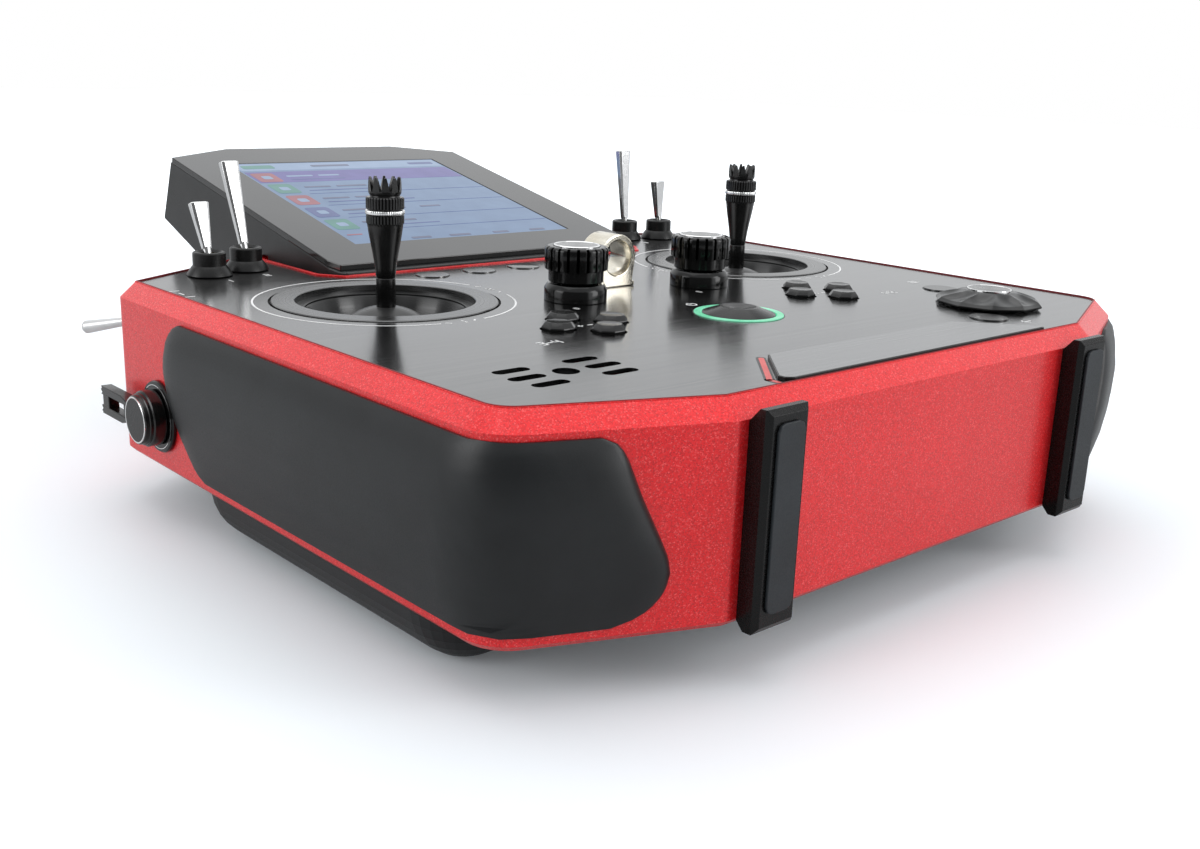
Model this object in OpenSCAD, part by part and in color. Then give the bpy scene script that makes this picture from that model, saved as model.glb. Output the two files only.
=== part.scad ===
// Handheld radio-control transmitter: flat case, two gimbal sticks, raised display.
// Modelled in the plate frame (x = 0 on the centre line, y = 0 at the plate's front edge, z = 0 on the plate's
// top face) and set down by seat(): z = 0 is the table, y = 0 is the middle of the overall length.

/* [Case] */
// Width of the case over its side walls
case_w = 250; // [240:1:270]
// Height of the case from the plate's top to the bottom edge
case_h = 51.4; // [44:0.2:60]
// Width of the bevel round the top edge
bevel_w = 4.4; // [3:0.2:6]
// Height of the bevel round the top edge
bevel_h = 4.3; // [3:0.1:5]
// Thickness of the case wall
wall = 3.2; // [2.4:0.1:4]
// Width of the straight front edge of the face
front_w = 147.4; // [130:1:160]
// Depth of the slanted front corners
nose_d = 19; // [14:0.5:26]
// Depth at which the side walls end and the shoulders start
side_l = 195.5; // [190:0.5:205]
// Width of the case's rear edge between the shoulders
rear_w = 142; // [134:1:150]
// Length of the face from the front edge to the rear edge
face_l = 225; // [220:1:240]
// Bend radius of the two front side corners
nose_r = 8; // [4:0.5:14]
// Bend radius of the other corners of the case
corner_r = 1.5; // [1:0.1:3]
// Width of the red border round the face plate
border = 0.8; // [0.6:0.1:1.5]
// Thickness of the face plate
plate_t = 2; // [1.5:0.1:2.4]
// Thickness of the back cover
back_t = 2.5; // [2:0.1:3.5]

/* [Display] */
// Width of the display housing
screen_w = 128; // [118:1:130]
// Length of the display panel along its slope
screen_l = 129.3; // [120:0.5:136]
// Tilt of the display panel
screen_tilt = 12; // [10:0.5:14]
// Depth of the display's front edge from the face's front edge
screen_y = 176.5; // [175:0.5:184]
// Height of the display's front edge above the plate
screen_z = 3.2; // [2.6:0.1:5]
// Width of the LCD window
lcd_w = 92; // [80:1:100]
// Length of the LCD window
lcd_l = 92; // [80:1:100]
// Distance from the panel's front edge to the window
lcd_gap = 17.5; // [12:0.5:24]
// Thickness of the display bezel
bezel_t = 2; // [1.4:0.1:3]
// Thickness of the display housing's wall
housing_wall = 2.4; // [2:0.1:3]
// Height of the red rim round the display's foot
rim_h = 0.4; // [0.3:0.1:1.2]
// Thickness of the red rim round the display's foot
rim_t = 1.3; // [1:0.1:2]

/* [Gimbals] */
// Distance of each gimbal from the centre line
gimbal_x = 73.7; // [70:0.1:76]
// Depth of the gimbals from the face's front edge
gimbal_y = 132.2; // [124:0.2:138]
// Radius of the plate hole that takes a gimbal
gimbal_r = 32.7; // [31:0.1:34]
// Radius of a gimbal's open well
well_r = 26; // [25:0.1:27]
// Depth of the stick's pivot below the plate's top
pivot_d = 20.7; // [19:0.1:22]
// Radius of the stick's dome
dome_r = 19.2; // [17:0.1:19.6]
// Height of a stick's tip above the plate
stick_h = 35; // [28:0.5:42]
// Radius of the stick's shaft
shaft_r = 2.5; // [2:0.1:3]
// Radius of the stick's knurled collar
collar_r = 5.3; // [4.4:0.1:6]
// Radius of the yoke's bearing pins
yoke_pin_r = 2; // [1.6:0.1:2.4]
// Radius of the stick's cross pin
stick_pin_r = 1.5; // [1.2:0.1:1.8]

/* [Switches] */
// Distance of the short toggles from the centre line
short_x = 96.5; // [94:0.5:99]
// Depth of the short toggles
short_y = 196; // [193:0.5:197]
// Distance of the long toggles from the centre line
long_x = 82; // [80:0.5:84]
// Depth of the long toggles
long_y = 200.5; // [198:0.5:203]
// Height of a short toggle's tip
short_h = 22.6; // [17:0.1:26]
// Height of a long toggle's tip
long_h = 34.6; // [28:0.1:38]
// Radius of a toggle boot's flange
boot_r = 6.9; // [6:0.1:7.4]
// Radius of a toggle boot's neck
boot_neck_r = 5; // [4.5:0.1:5.6]
// Height of a toggle boot
boot_h = 7.4; // [6:0.1:9]
// How far the left toggles are thrown back
left_lean = 18; // [8:1:19]
// How far the right toggles are thrown back
right_lean = 5; // [0:1:10]
// Depth of the rear toggles below the plate's top
rear_toggle_z = 15; // [12:0.5:22]
// Distance of the rear toggles from the shoulder's outer end
rear_toggle_s = 16; // [14:0.5:18]
// Length of a rear toggle from the wall to its tip
rear_toggle_l = 22; // [16:0.5:26]

/* [Knobs and buttons] */
// Distance of the knobs from the centre line
knob_x = 26; // [24:0.1:30]
// Depth of the knobs
knob_y = 105; // [98:0.5:108]
// Radius of a knob's fluted cap
knob_r = 9.3; // [8:0.1:10.5]
// Height of a knob's top above the plate
knob_h = 16.4; // [13:0.1:20]
// Height of a knob's fixed collar
collar_h = 4.2; // [3:0.1:5.5]
// Distance of the trim crosses from the centre line
trim_x = 49; // [46.5:0.1:50]
// Depth of the trim crosses
trim_y = 74.2; // [71:0.1:76]
// Distance of each trim button from its cross's centre
trim_d = 9.3; // [8.6:0.1:10]
// Radius of a trim button
trim_r = 4.6; // [3.8:0.1:5]
// Height of a trim button
trim_h = 2.2; // [1.6:0.1:3]
// Depth of the row of function buttons
row_y = 162.4; // [158:0.2:164]
// Pitch of the function buttons
row_pitch = 18.5; // [16:0.1:19]
// Radius of a round flat button
flat_r = 5.4; // [4.6:0.1:6]
// Height of a round flat button
flat_h = 0.4; // [0.3:0.1:1.2]
// Depth of the power button
power_y = 64; // [60:0.5:68]
// Outer radius of the power button's lit ring
ring_r = 12.8; // [12:0.1:14]
// Width of the lit ring
ring_w = 2; // [1.8:0.1:3]
// Travel of every push button
travel = 0.8; // [0.4:0.1:1]
// Distance of the dial from the centre line
dial_x = 79; // [76:0.5:82]
// Depth of the dial
dial_y = 33; // [31:0.5:36]
// Radius of the dial's rim
dial_r = 16.2; // [14:0.1:17]
// Height of the dial
dial_h = 5.2; // [4:0.1:7]
// Number of facets round the dial
dial_facets = 10; // [8:1:12]

/* [Grips and fittings] */
// Thickness of the rubber side grips where they bulge most
grip_t = 4.1; // [2.4:0.1:5]
// Depth at which the side grips end
grip_end = 163; // [150:0.5:166]
// Height of the palm grips below the case
palm_h = 14.6; // [12:0.2:20]
// Width of a palm grip
palm_w = 44; // [36:1:50]
// Length of a palm grip
palm_l = 126; // [115:1:140]
// Distance of each palm grip's middle from the case's side
palm_in = 24.5; // [23:0.5:32]
// Distance of the stand feet from the centre line
foot_x = 64.7; // [60:0.1:66]
// Width of a stand foot
foot_w = 13.6; // [11:0.1:15]
// How far a stand foot stands out of the front wall
foot_d = 5.7; // [4:0.1:8]
// Radius of the strap eyelet's bore
eyelet_r = 5.4; // [4:0.1:6]
// Depth of the eyelet along its bore
eyelet_l = 10; // [7:0.5:12]
// Depth of the eyelet's centre from the face's front edge
eyelet_y = 120; // [116:0.5:124]
// Depth of the side levers from the face's front edge
side_y = 171; // [170:0.5:176]
// Height of the side levers' axis above the case's bottom edge
side_up = 16.4; // [13:0.2:18]
// Radius of a side lever's hub
hub_r = 8.1; // [7:0.1:9]
// Distance from a side lever's axis to the end of its paddle
paddle_l = 28; // [22:0.5:32]

/* [Hidden] */

$fn = 48;
thin = 0.1;         // thickness of the slabs that a bevel is hulled from
fit = 0.15;         // gap round a seated piece
run = 0.3;          // gap round a moving piece
pin_gap = 0.05;     // radial clearance of a pin in its bore
seam = 0.2;         // overlap that joins solids of one piece
board_t = 1.6;

// Colours
red = "firebrick";
black = [0.09, 0.09, 0.1];
graphite = [0.35, 0.35, 0.36];
rubber = [0.16, 0.16, 0.17];
steel = [0.8, 0.8, 0.8];
board_green = "darkgreen";

// Outline of the face, counter-clockwise, and its corner radii
face_w = case_w - 2 * bevel_w;
face = [[-front_w / 2, 0], [front_w / 2, 0], [face_w / 2, nose_d], [face_w / 2, side_l],
    [rear_w / 2, face_l], [-rear_w / 2, face_l], [-face_w / 2, side_l], [-face_w / 2, nose_d]];
face_r = [corner_r, corner_r, nose_r, corner_r, corner_r, corner_r, corner_r, nose_r];
shoulder = face[4] - face[3];
shoulder_u = shoulder / norm(shoulder);
shoulder_n = [shoulder_u[1], -shoulder_u[0]];

// The display's own frame: its origin at the panel's front edge, tilted about X
rear_top = [screen_y + screen_l * cos(screen_tilt), screen_z + screen_l * sin(screen_tilt)];
head_lean = 9;                      // how far the housing's back leans out below the panel
head_back = rear_top[0] + head_lean;
pad_t = 0.8;                        // thickness of a foot's rubber pad
foot_front = -bevel_w - foot_d - pad_t;
mid_y = (head_back + foot_front) / 2;
table_z = case_h + palm_h;
inner = bevel_w - wall;             // the cavity's wall, as an offset from the face's outline
ledge_w = 3;
seat_z = -plate_t;
cavity_top = -bevel_h - 0.7;
floor_z = -case_h + back_t;
lip = 1.5;

// The display's foot well, as a half outline
well_w = screen_w / 2 + 5;
well_front = screen_y - 4.5;
well_cut = 6;
well_floor = -30;

// Boards and the buttons' stems
board_z = -9;                       // underside of the control board
board_top = board_z + board_t;
switch_h = 2.2;
stem_end = board_top + switch_h + travel + run;
tact_w = 5;
board_side = trim_x + trim_d + 9;   // half width of the control board across the trims
board_front = trim_y - 28.2;
board_mid = trim_y + 17.8;
board_tail = 38;                    // half width of the tongue under the function buttons
// Rectangles of the control board: x0, x1, y0, y1
board_parts = [[-board_side, board_side, board_front, board_mid],
    [-board_tail, board_tail, board_front, row_y + 7.6], [dial_x - 29, dial_x + 23, dial_y - 19, board_mid]];
main_z = -20;
main_board_w = 68;
main_y0 = 20;
main_y1 = 160;
chip_w = 24;
chip_y0 = 100;
chip_h = 3;
main_inset = 8;                     // how far the main board's posts stand in from its edges
battery = [96, 44, 22];
battery_y = 62;
hatch = [108, 56];
post_r = 4.8;
screw_r = 1.2;

// Heights of the stick's parts above the plate
ring_z = stick_h - 10.6;
ring_h = 1.2;
cone_top = ring_z - 3;

// Fixed sizes of small parts
screw_l = 9;                        // reach of a case screw above the back cover
head_r = 2.6;
head_h = 1.2;
head_z = head_h + 0.1 - case_h;     // top of a sunk screw head
bush_r = 6;                         // bush of a side lever; a switch's bush is half of it
pin_bore = 2.05;
dial_pin_r = 3;
stud_r = 2.2;
pad_w = foot_w - 5;
toggle_bore = 3.2;
trunnion_r = 1;                     // pin through a toggle's ball, on its hinge's axis
trunnion_l = 2 * sqrt(pow(toggle_bore - pin_gap, 2) - pow(trunnion_r, 2));
bat_w = 5.8;                        // width of a face toggle's bat at its tip
bat_t = 3.2;                        // thickness of the bat at its tip
bat_root_w = 2.8;
bat_root_t = 1.8;
bat_root_z = 5;
bat_edge_w = 0.8;                    // chamfer along the bat's tip, across it and through it
bat_edge_t = 0.5;
toggle_pivot = 3.6;
rear_lean = 12;
bezel_h = 1.4;                      // height of a side lever's bezel
side_bezel_r = hub_r + 2.4;
hub_h = 8;
knob_cap_z = collar_h + 5;
eyelet_out = eyelet_r + 1.9;
eyelet_z = eyelet_out + 1.8;
plaque_t = 1;
plaque_w = 57;                      // half width of the plaque at its front
plaque_rear = 40;                   // half width of the plaque at its rear
plaque_y0 = 2.2;
plaque_y1 = 20.4;
lcd_t = bezel_t + 2.4;
speaker = [87.3, 36.9];
speaker_hole_r = 3.2;
speaker_slot_r = 1.8;               // rounding of a slot's ends
speaker_slot_l = 6.4;               // between the rounded ends
speaker_slot_at = 11.2;             // from the middle hole to a middle slot's middle
speaker_slot_in = 1;                // how much nearer the outer slots lie
speaker_slot_step = 7;
speaker_r = 14;
speaker_t = 3.5;
magnet_r = 8;
magnet_t = 6;
grip_top = -bevel_h - 1.5;
grip_low = lip + 1.4 - case_h;
grip_nose = 89;                     // how near the centre line the side grips reach
grip_bulge = [[0, 0.2], [0.04, 0.52], [0.14, 0.8], [0.36, 1], [0.56, 1], [0.8, 0.75], [0.95, 0.5], [1, 0.2]];
palm_y = 95;
palm_x = case_w / 2 - palm_in;
side_z = case_h - side_up;
palm_r = palm_h + 0.6;              // rounding of a palm grip, cut flat where it rests
hatch_y0 = battery_y - hatch[1] / 2;
hatch_y1 = battery_y + hatch[1] / 2;
hatch_screw_x = hatch[0] / 2 - 3;
tab_z = floor_z + 2.4;
main_posts = [for (x = [-1, 1], y = [main_y0 + main_inset, main_y1 - main_inset])
    [x * (main_board_w / 2 - main_inset), y]];
main_post_r = 3;
studs = [[-62, 52], [62, 52], [-34, 146], [34, 146], [97, 84], [97, 20], [-62, 88], [62, 88]];
flat_buttons = concat([for (i = [-2:2]) [i * row_pitch, row_y]],
    [[dial_x + 12, dial_y + 25], [dial_x - 20.4, dial_y - 13]]);
ring_top = 0.3;
power_r = ring_r - ring_w - run;
dish_r = 5.4;                       // dished top of the power button
dish_top = 2.1;
dish_d = 0.6;
foot_low = -case_h - 1;
pad_l = -foot_low - 9;

// The display housing
rear_cut = [26.5, 10.1];            // bevel of the two rear corners, across and along
housing_low = -12;
rear_wall = face_l + bevel_w + 0.2;
foot_back = face_l - border - ledge_w - run;
under_slope = 20;
under_y = 291;                      // where the sloping underside would cross the plate's level
head_angle = atan(head_lean * rear_cut[0] / norm(rear_cut) / (rear_top[1] - under(head_back)));

// Gimbal parts
throat_d = 10;
throat_t = 1.2;                     // thickness of the bowl's lip round the dome
throat_r = sqrt(dome_r * dome_r - pow(pivot_d - throat_d - throat_t, 2)) + 0.4;
cheek_x = 26.4;
yoke_out = 24;
yoke_in = 21;
yoke_t = 5;                         // height of the yoke's ring
cheek_t = 3.6;
cheek_w = 12;
cheek_low = 5;                      // reach of the cheeks below the pivot
dome_rim = 80;
core_r = 1.6;
core_top = stick_h - 5;

function unit(v) = v / norm(v);
function inward(a, b) = let(u = unit(b - a)) [-u[1], u[0]];
// Moves every edge of a polygon inward by d
function inset(p, d) = [for (i = [0:len(p) - 1])
    let(m = inward(p[(i + len(p) - 1) % len(p)], p[i]), n = inward(p[i], p[(i + 1) % len(p)]))
    p[i] + d * (m + n) / (1 + m * n)];
// Replaces a corner by an arc of k steps
function arc(a, b, c, r, k) =
    let(m = inward(a, b), n = inward(b, c), o = b + r * (m + n) / (1 + m * n),
        start = atan2(-m[1], -m[0]), turn = acos(min(1, m * n)))
    [for (j = [0:k]) o + r * [cos(start + turn * j / k), sin(start + turn * j / k)]];
function rounded(p, r) = [for (i = [0:len(p) - 1])
    each arc(p[(i + len(p) - 1) % len(p)], p[i], p[(i + 1) % len(p)], r[i], r[i] > 3 ? 6 : 2)];
// The face's outline moved outward by d
function outline(d) = rounded(inset(face, -d), [for (r = face_r) max(0.3, r + d)]);
posts = [for (i = [0, 1, 2, 3, 6, 7]) inset(face, 3)[i]];
function both_sides(p) = concat(p, [for (i = [len(p) - 1:-1:0]) [-p[i][0], p[i][1]]]);

module seat() translate([0, -mid_y, table_z]) children();
module slab(d, z0, z1) translate([0, 0, z0]) linear_extrude(z1 - z0) polygon(outline(d));
module at(x, y, z = 0) translate([x, y, z]) children();
module bar(z0, z1, r) translate([0, 0, z0]) cylinder(r = r, h = z1 - z0);
module cross_bar(r, l) rotate([0, 90, 0]) cylinder(r = r, h = l, center = true);
module sides() for (s = [0, 1]) mirror([s, 0, 0]) children();
module block(x0, x1, y0, y1, z0, z1) translate([x0, y0, z0]) cube([x1 - x0, y1 - y0, z1 - z0]);
// Places children at a rear toggle of the right side, +Z out of the shoulder's wall
module on_shoulder() {
    p = inset(face, -bevel_w)[3] + rear_toggle_s * shoulder_u;
    translate([p[0], p[1], -rear_toggle_z])
        rotate([0, 0, atan2(shoulder_n[1], shoulder_n[0])]) rotate([0, 90, 0]) children();
}
module well_outline(d) polygon(both_sides([[0, well_front - d], [well_w - well_cut + d / 2, well_front - d],
    [well_w + d, well_front + well_cut * 1.3 - d / 2], [well_w + d, face_l + inner]]));
module hole(r) bar(seat_z - 1, 1, r);
// Places children on the outside of the right wall at the side lever, +Z outward
module on_side() translate([case_w / 2, side_y, -side_z]) rotate([0, 90, 0]) children();
// The display panel's own frame: Y up the slope, Z out of the panel
module head() translate([0, screen_y, screen_z]) rotate([screen_tilt, 0, 0]) children();
module left() mirror([1, 0, 0]) children();
module boss(r, l, z0, z1) difference() {
    bar(z0, z1, r);
    bar(z0 - 1, z1 + 1, l);
}

// ---- Case ----
module case_frame() color(red) seat() {
    difference() {
        union() {
            difference() {
                hull() {
                    slab(0, -thin, 0);
                    slab(bevel_w, lip - case_h, -bevel_h);
                    slab(bevel_w - lip, -case_h, thin - case_h);
                }
                slab(-border, seat_z, 1);
                slab(-border - ledge_w, cavity_top - 1, 0);
                slab(inner, -case_h - 1, cavity_top);
            }
            for (p = posts) at(p[0], p[1]) bar(floor_z, cavity_top + 1, post_r);
        }
        for (p = posts) at(p[0], p[1]) bar(-case_h, floor_z + screw_l + 1, screw_r + pin_gap);
        sides() on_side() bar(-wall - 1, 1, bush_r + fit);
        sides() on_shoulder() bar(-wall - 1, 1, bush_r / 2 + fit);
    }
    difference() {
        translate([0, 0, well_floor]) linear_extrude(rim_h - well_floor) well_outline(0);
        translate([0, 0, well_floor - 1]) linear_extrude(rim_h - well_floor + 2) well_outline(-rim_t);
    }
}

module face_plate() color(graphite) seat() {
    difference() {
        slab(-border - fit, seat_z, 0);
        translate([0, 0, seat_z - 1]) linear_extrude(plate_t + 2) well_outline(fit);
        sides() {
            at(gimbal_x, gimbal_y) hole(gimbal_r);
            at(short_x, short_y) hole(bush_r / 2 + fit);
            at(long_x, long_y) hole(bush_r / 2 + fit);
            at(knob_x, knob_y) hole(bush_r / 2 + fit);
            for (a = [0:90:270]) at(trim_x, trim_y) rotate([0, 0, a]) at(trim_d, 0) hole(trim_r + run);
        }
        for (p = flat_buttons) at(p[0], p[1]) hole(flat_r + run);
        at(0, power_y) hole(ring_r + fit);
        at(0, eyelet_y) hole(bush_r / 2 + fit);
        at(dial_x, dial_y) hole(dial_pin_r + run);
        at(-speaker[0], speaker[1]) speaker_holes();
    }
    for (p = studs) at(p[0], p[1]) bar(board_top, seat_z + seam, stud_r);
}
module speaker_holes() {
    hole(speaker_hole_r);
    for (s = [-1, 1], row = [-1, 0, 1])
        at(s * (speaker_slot_at - abs(row) * speaker_slot_in), row * speaker_slot_step) {
            block(-speaker_slot_l / 2, speaker_slot_l / 2, -speaker_slot_r, speaker_slot_r, seat_z - 1, 1);
            for (e = [-1, 1]) at(e * speaker_slot_l / 2, 0) hole(speaker_slot_r);
        }
}

module back_cover() color(black) seat() {
    difference() {
        slab(inner - fit, -case_h, floor_z);
        hatch_hole(-case_h - 1, floor_z + 1);
        for (p = posts) at(p[0], p[1]) {
            bar(-case_h - 1, floor_z + 1, screw_r + fit);
            bar(-case_h - 1, head_z + fit, head_r + fit);
        }
    }
    difference() {
        for (s = [-1, 1]) at(s * hatch[0] / 2, battery_y) block(-8, 8, -9, 9, floor_z - seam, tab_z);
        hatch_hole(-case_h - 1, floor_z);
        block(-battery[0] / 2 - run, battery[0] / 2 + run, hatch_y0, hatch_y1, floor_z - 1, tab_z + 1);
        for (s = [-1, 1]) at(s * hatch_screw_x, battery_y) bar(-case_h, tab_z + 1, screw_r + pin_gap);
    }
    for (p = main_posts) at(p[0], p[1]) bar(floor_z - seam, main_z, main_post_r);
}

module hatch_hole(z0, z1)
    block(-hatch[0] / 2 - fit, hatch[0] / 2 + fit, hatch_y0 - fit, hatch_y1 + fit, z0, z1);

module battery_cover() color(black) seat() difference() {
    block(-hatch[0] / 2, hatch[0] / 2, hatch_y0, hatch_y1, -case_h, floor_z);
    for (s = [-1, 1]) at(s * hatch_screw_x, battery_y) {
        bar(-case_h - 1, floor_z + 1, screw_r + fit);
        bar(-case_h - 1, head_z + fit, head_r + fit);
    }
}

module battery_pack() color("steelblue") seat()
    block(-battery[0] / 2, battery[0] / 2, battery_y - battery[1] / 2, battery_y + battery[1] / 2,
        floor_z, floor_z + battery[2]);

module main_board() color(board_green) seat() {
    block(-main_board_w / 2, main_board_w / 2, main_y0, main_y1, main_z, main_z + board_t);
    translate([0, 0, main_z + board_t])
        block(-chip_w / 2, chip_w / 2, chip_y0, chip_y0 + chip_w, -seam, chip_h);
}

module case_screws() color(steel) seat() {
    for (p = posts) at(p[0], p[1]) screw(floor_z + screw_l);
    for (s = [-1, 1]) at(s * hatch_screw_x, battery_y) screw(tab_z - 0.4);
}
module screw(top) {
    bar(head_z - head_h, head_z, head_r);
    bar(head_z - seam, top, screw_r);
}

// Rubber skin of the right side: a bulging shell that follows the wall, cut by its own outline
module side_grip() intersection() {
    difference() {
        hull() for (g = grip_bulge) let(z = grip_top + g[0] * (grip_low - grip_top))
            slab(bevel_w + g[1] * grip_t, z - (1 - g[0]) * thin, z + g[0] * thin);
        slab(bevel_w, grip_low - 1, grip_top + 1);
    }
    union() {
        translate([80, 0, 0]) rotate([90, 0, 90]) linear_extrude(case_w)
            polygon([[14, grip_top], [grip_end - 8, grip_top], [grip_end - 1, grip_top - 6],
                [grip_end + 0.5, grip_top - 14], [grip_end - 6, grip_top - 29],
                [grip_end - 16, grip_low], [14, grip_low]]);
        translate([0, 30, 0]) rotate([90, 0, 0]) linear_extrude(60)
            polygon([[case_w, grip_top], [grip_nose + 14, grip_top], [grip_nose + 10.5, grip_top - 3],
                [grip_nose, grip_low + 13], [grip_nose + 0.5, grip_low + 8], [grip_nose + 4, grip_low + 3.5],
                [grip_nose + 13, grip_low], [case_w, grip_low]]);
    }
}
module left_side_grip() color(rubber) seat() left() side_grip();
module right_side_grip() color(rubber) seat() side_grip();

// Rounded bulge under the case, flat where it rests on the table
module palm_grip() at(palm_x, palm_y, -case_h) intersection() {
    hull() for (x = [-1, 1], y = [-1, 1])
        at(x * (palm_w / 2 - palm_r), y * (palm_l / 2 - palm_r)) sphere(r = palm_r, $fn = 32);
    block(-palm_w, palm_w, -palm_l, palm_l, -palm_h, 0);
}
module left_palm_grip() color(rubber) seat() left() palm_grip();
module right_palm_grip() color(rubber) seat() palm_grip();

// Stand blocks on the front wall, bevelled all round
module stand_feet() color(black) seat() sides() intersection() {
    at(foot_x - foot_w / 2, 0) rotate([90, 0, 90]) linear_extrude(foot_w)
        polygon([[-bevel_w, -bevel_h - 0.3], [-bevel_w - foot_d / 2, -1.4], [1 - bevel_w - foot_d, -1.4],
            [-bevel_w - foot_d, -2.8], [-bevel_w - foot_d, foot_low + 1.6], [1.3 - bevel_w - foot_d, foot_low],
            [-bevel_w - 2, foot_low], [-bevel_w, foot_low + 2.2]]);
    translate([foot_x, -bevel_w, -case_h - 10]) linear_extrude(case_h + 20)
        polygon(both_sides([[0, -foot_d], [foot_w / 2 - 1.2, -foot_d], [foot_w / 2, 1.2 - foot_d],
            [foot_w / 2, 0]]));
}
module foot_pads() color(rubber) seat() sides()
    translate([foot_x, -bevel_w - foot_d - pad_t, foot_low / 2]) rotate([-90, 0, 0]) linear_extrude(pad_t)
        polygon(rounded([[-pad_w / 2, -pad_l / 2], [pad_w / 2, -pad_l / 2], [pad_w / 2, pad_l / 2],
            [-pad_w / 2, pad_l / 2]], [2, 2, 2, 2]));

// ---- Display ----
// Side profile of the housing below the panel; its back leans out down to the sloping underside
module head_profile(d) polygon([[well_front + rim_t + run, housing_low],
    [well_front + rim_t + run, screen_z - d], [screen_y, screen_z - d / cos(screen_tilt)],
    [rear_top[0] + d * sin(screen_tilt), rear_top[1] - d * cos(screen_tilt)],
    [head_back, under(head_back)], [rear_wall, under(rear_wall)], [rear_wall, run], [foot_back, run],
    [foot_back, housing_low]]);
module display_housing() color(black) seat() difference() {
    intersection() {
        translate([-screen_w, 0, 0]) rotate([90, 0, 90]) linear_extrude(2 * screen_w) head_profile(bezel_t);
        translate([0, 0, 2 * housing_low]) linear_extrude(screen_w)
            polygon(both_sides([[0, well_front], [screen_w / 2 - 3, well_front], [screen_w / 2, screen_y + 4],
                [screen_w / 2, head_back + 1]]));
    }
    sides() translate([screen_w / 2, rear_top[0] - rear_cut[1], rear_top[1]])
        rotate([0, 0, -atan(rear_cut[1] / rear_cut[0])]) rotate([head_angle, 0, 0])
            block(-screen_w / 2, screen_w / 4, 0, screen_w, -screen_w, screen_w);
    translate([housing_wall - screen_w / 2, 0, 0]) rotate([90, 0, 90])
        linear_extrude(screen_w - 2 * housing_wall)
        polygon([[screen_y + 8, housing_low - 1], [foot_back - housing_wall, housing_low - 1],
            [foot_back - housing_wall, run + housing_wall], [rear_wall + housing_wall, run + housing_wall],
            [rear_wall + housing_wall, under(rear_wall) + 2 * housing_wall],
            [rear_top[0] - rear_cut[1], under(rear_top[0] - rear_cut[1]) + housing_wall],
            [rear_top[0] - rear_cut[1], top_at(rear_top[0] - rear_cut[1]) - lcd_t - 1.6],
            [screen_y + 8, top_at(screen_y + 8) - lcd_t - 1.6]]);
    head() block(-lcd_w / 2 - fit, lcd_w / 2 + fit, lcd_gap - fit, lcd_gap + lcd_l + fit, -lcd_t, 1);
}
function top_at(y) = screen_z + (y - screen_y) * tan(screen_tilt);
function under(y) = (y - under_y) * tan(under_slope);

module display_bezel() color([0.55, 0.54, 0.54]) seat() head() difference() {
    translate([0, 0, -bezel_t]) linear_extrude(bezel_t)
        polygon(both_sides([[0, 0], [screen_w / 2 - 2, 0], [screen_w / 2, 5],
            [screen_w / 2, screen_l - rear_cut[1]], [screen_w / 2 - rear_cut[0], screen_l]]));
    block(-lcd_w / 2 - fit, lcd_w / 2 + fit, lcd_gap - fit, lcd_gap + lcd_l + fit, -bezel_t - 1, 1);
}
module lcd_panel() color([0.6, 0.64, 0.78]) seat() head()
    block(-lcd_w / 2, lcd_w / 2, lcd_gap, lcd_gap + lcd_l, -lcd_t, -0.2);

module front_plaque() color(graphite) seat() linear_extrude(plaque_t)
    polygon(both_sides([[0, border + fit], [plaque_w - 1, border + fit], [plaque_w, plaque_y0],
        [plaque_rear, plaque_y1]]));

module strap_eyelet() color([0.82, 0.78, 0.68]) seat() at(0, eyelet_y) {
    difference() {
        union() {
            block(-eyelet_out, eyelet_out, -eyelet_l / 2, eyelet_l / 2, 0, 1.6);
            hull() {
                translate([0, 0, eyelet_z]) rotate([90, 0, 0])
                    cylinder(r = eyelet_out, h = eyelet_l, center = true);
                block(1 - eyelet_out, eyelet_out - 1, -eyelet_l / 2, eyelet_l / 2, 1.6, 2.6);
            }
        }
        translate([0, 0, eyelet_z]) rotate([90, 0, 0]) cylinder(r = eyelet_r, h = 2 * eyelet_l, center = true);
    }
    bar(seat_z - 3, seam, bush_r / 2);
}

// ---- Gimbals ----
// Cover ring, open bowl and the two cheeks that carry the yoke
module gimbal_frame() at(gimbal_x, gimbal_y) difference() {
    union() {
        rotate_extrude() polygon([[well_r, 0], [gimbal_r - fit, 0], [gimbal_r - fit, seat_z],
            [gimbal_r + 2, seat_z], [gimbal_r + 2, seat_z - 1.5], [well_r + 1, seat_z - 1.5],
            [throat_r + 0.6, -throat_d - throat_t], [throat_r, -throat_d - throat_t], [throat_r, -throat_d],
            [well_r, -1.8]]);
        sides() block(cheek_x, cheek_x + cheek_t, -cheek_w / 2, cheek_w / 2, -pivot_d - cheek_low, seat_z - 1);
    }
    translate([0, 0, -pivot_d]) cross_bar(yoke_pin_r + pin_gap, 80);
}
module left_gimbal_frame() color(graphite) seat() left() gimbal_frame();
module right_gimbal_frame() color(graphite) seat() gimbal_frame();

module yoke() translate([gimbal_x, gimbal_y, -pivot_d]) {
    difference() {
        bar(-yoke_t / 2, yoke_t / 2, yoke_out);
        bar(-yoke_t, yoke_t, yoke_in);
        rotate([0, 0, 90]) cross_bar(stick_pin_r + pin_gap, 80);
    }
    for (a = [0, 180]) rotate([0, 0, a]) translate([yoke_out - 1, 0, 0]) rotate([0, 90, 0])
        bar(0, cheek_x + cheek_t - yoke_out + 0.8, yoke_pin_r);
}
module left_yoke() color(steel) seat() left() yoke();
module right_yoke() color(steel) seat() yoke();

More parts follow.
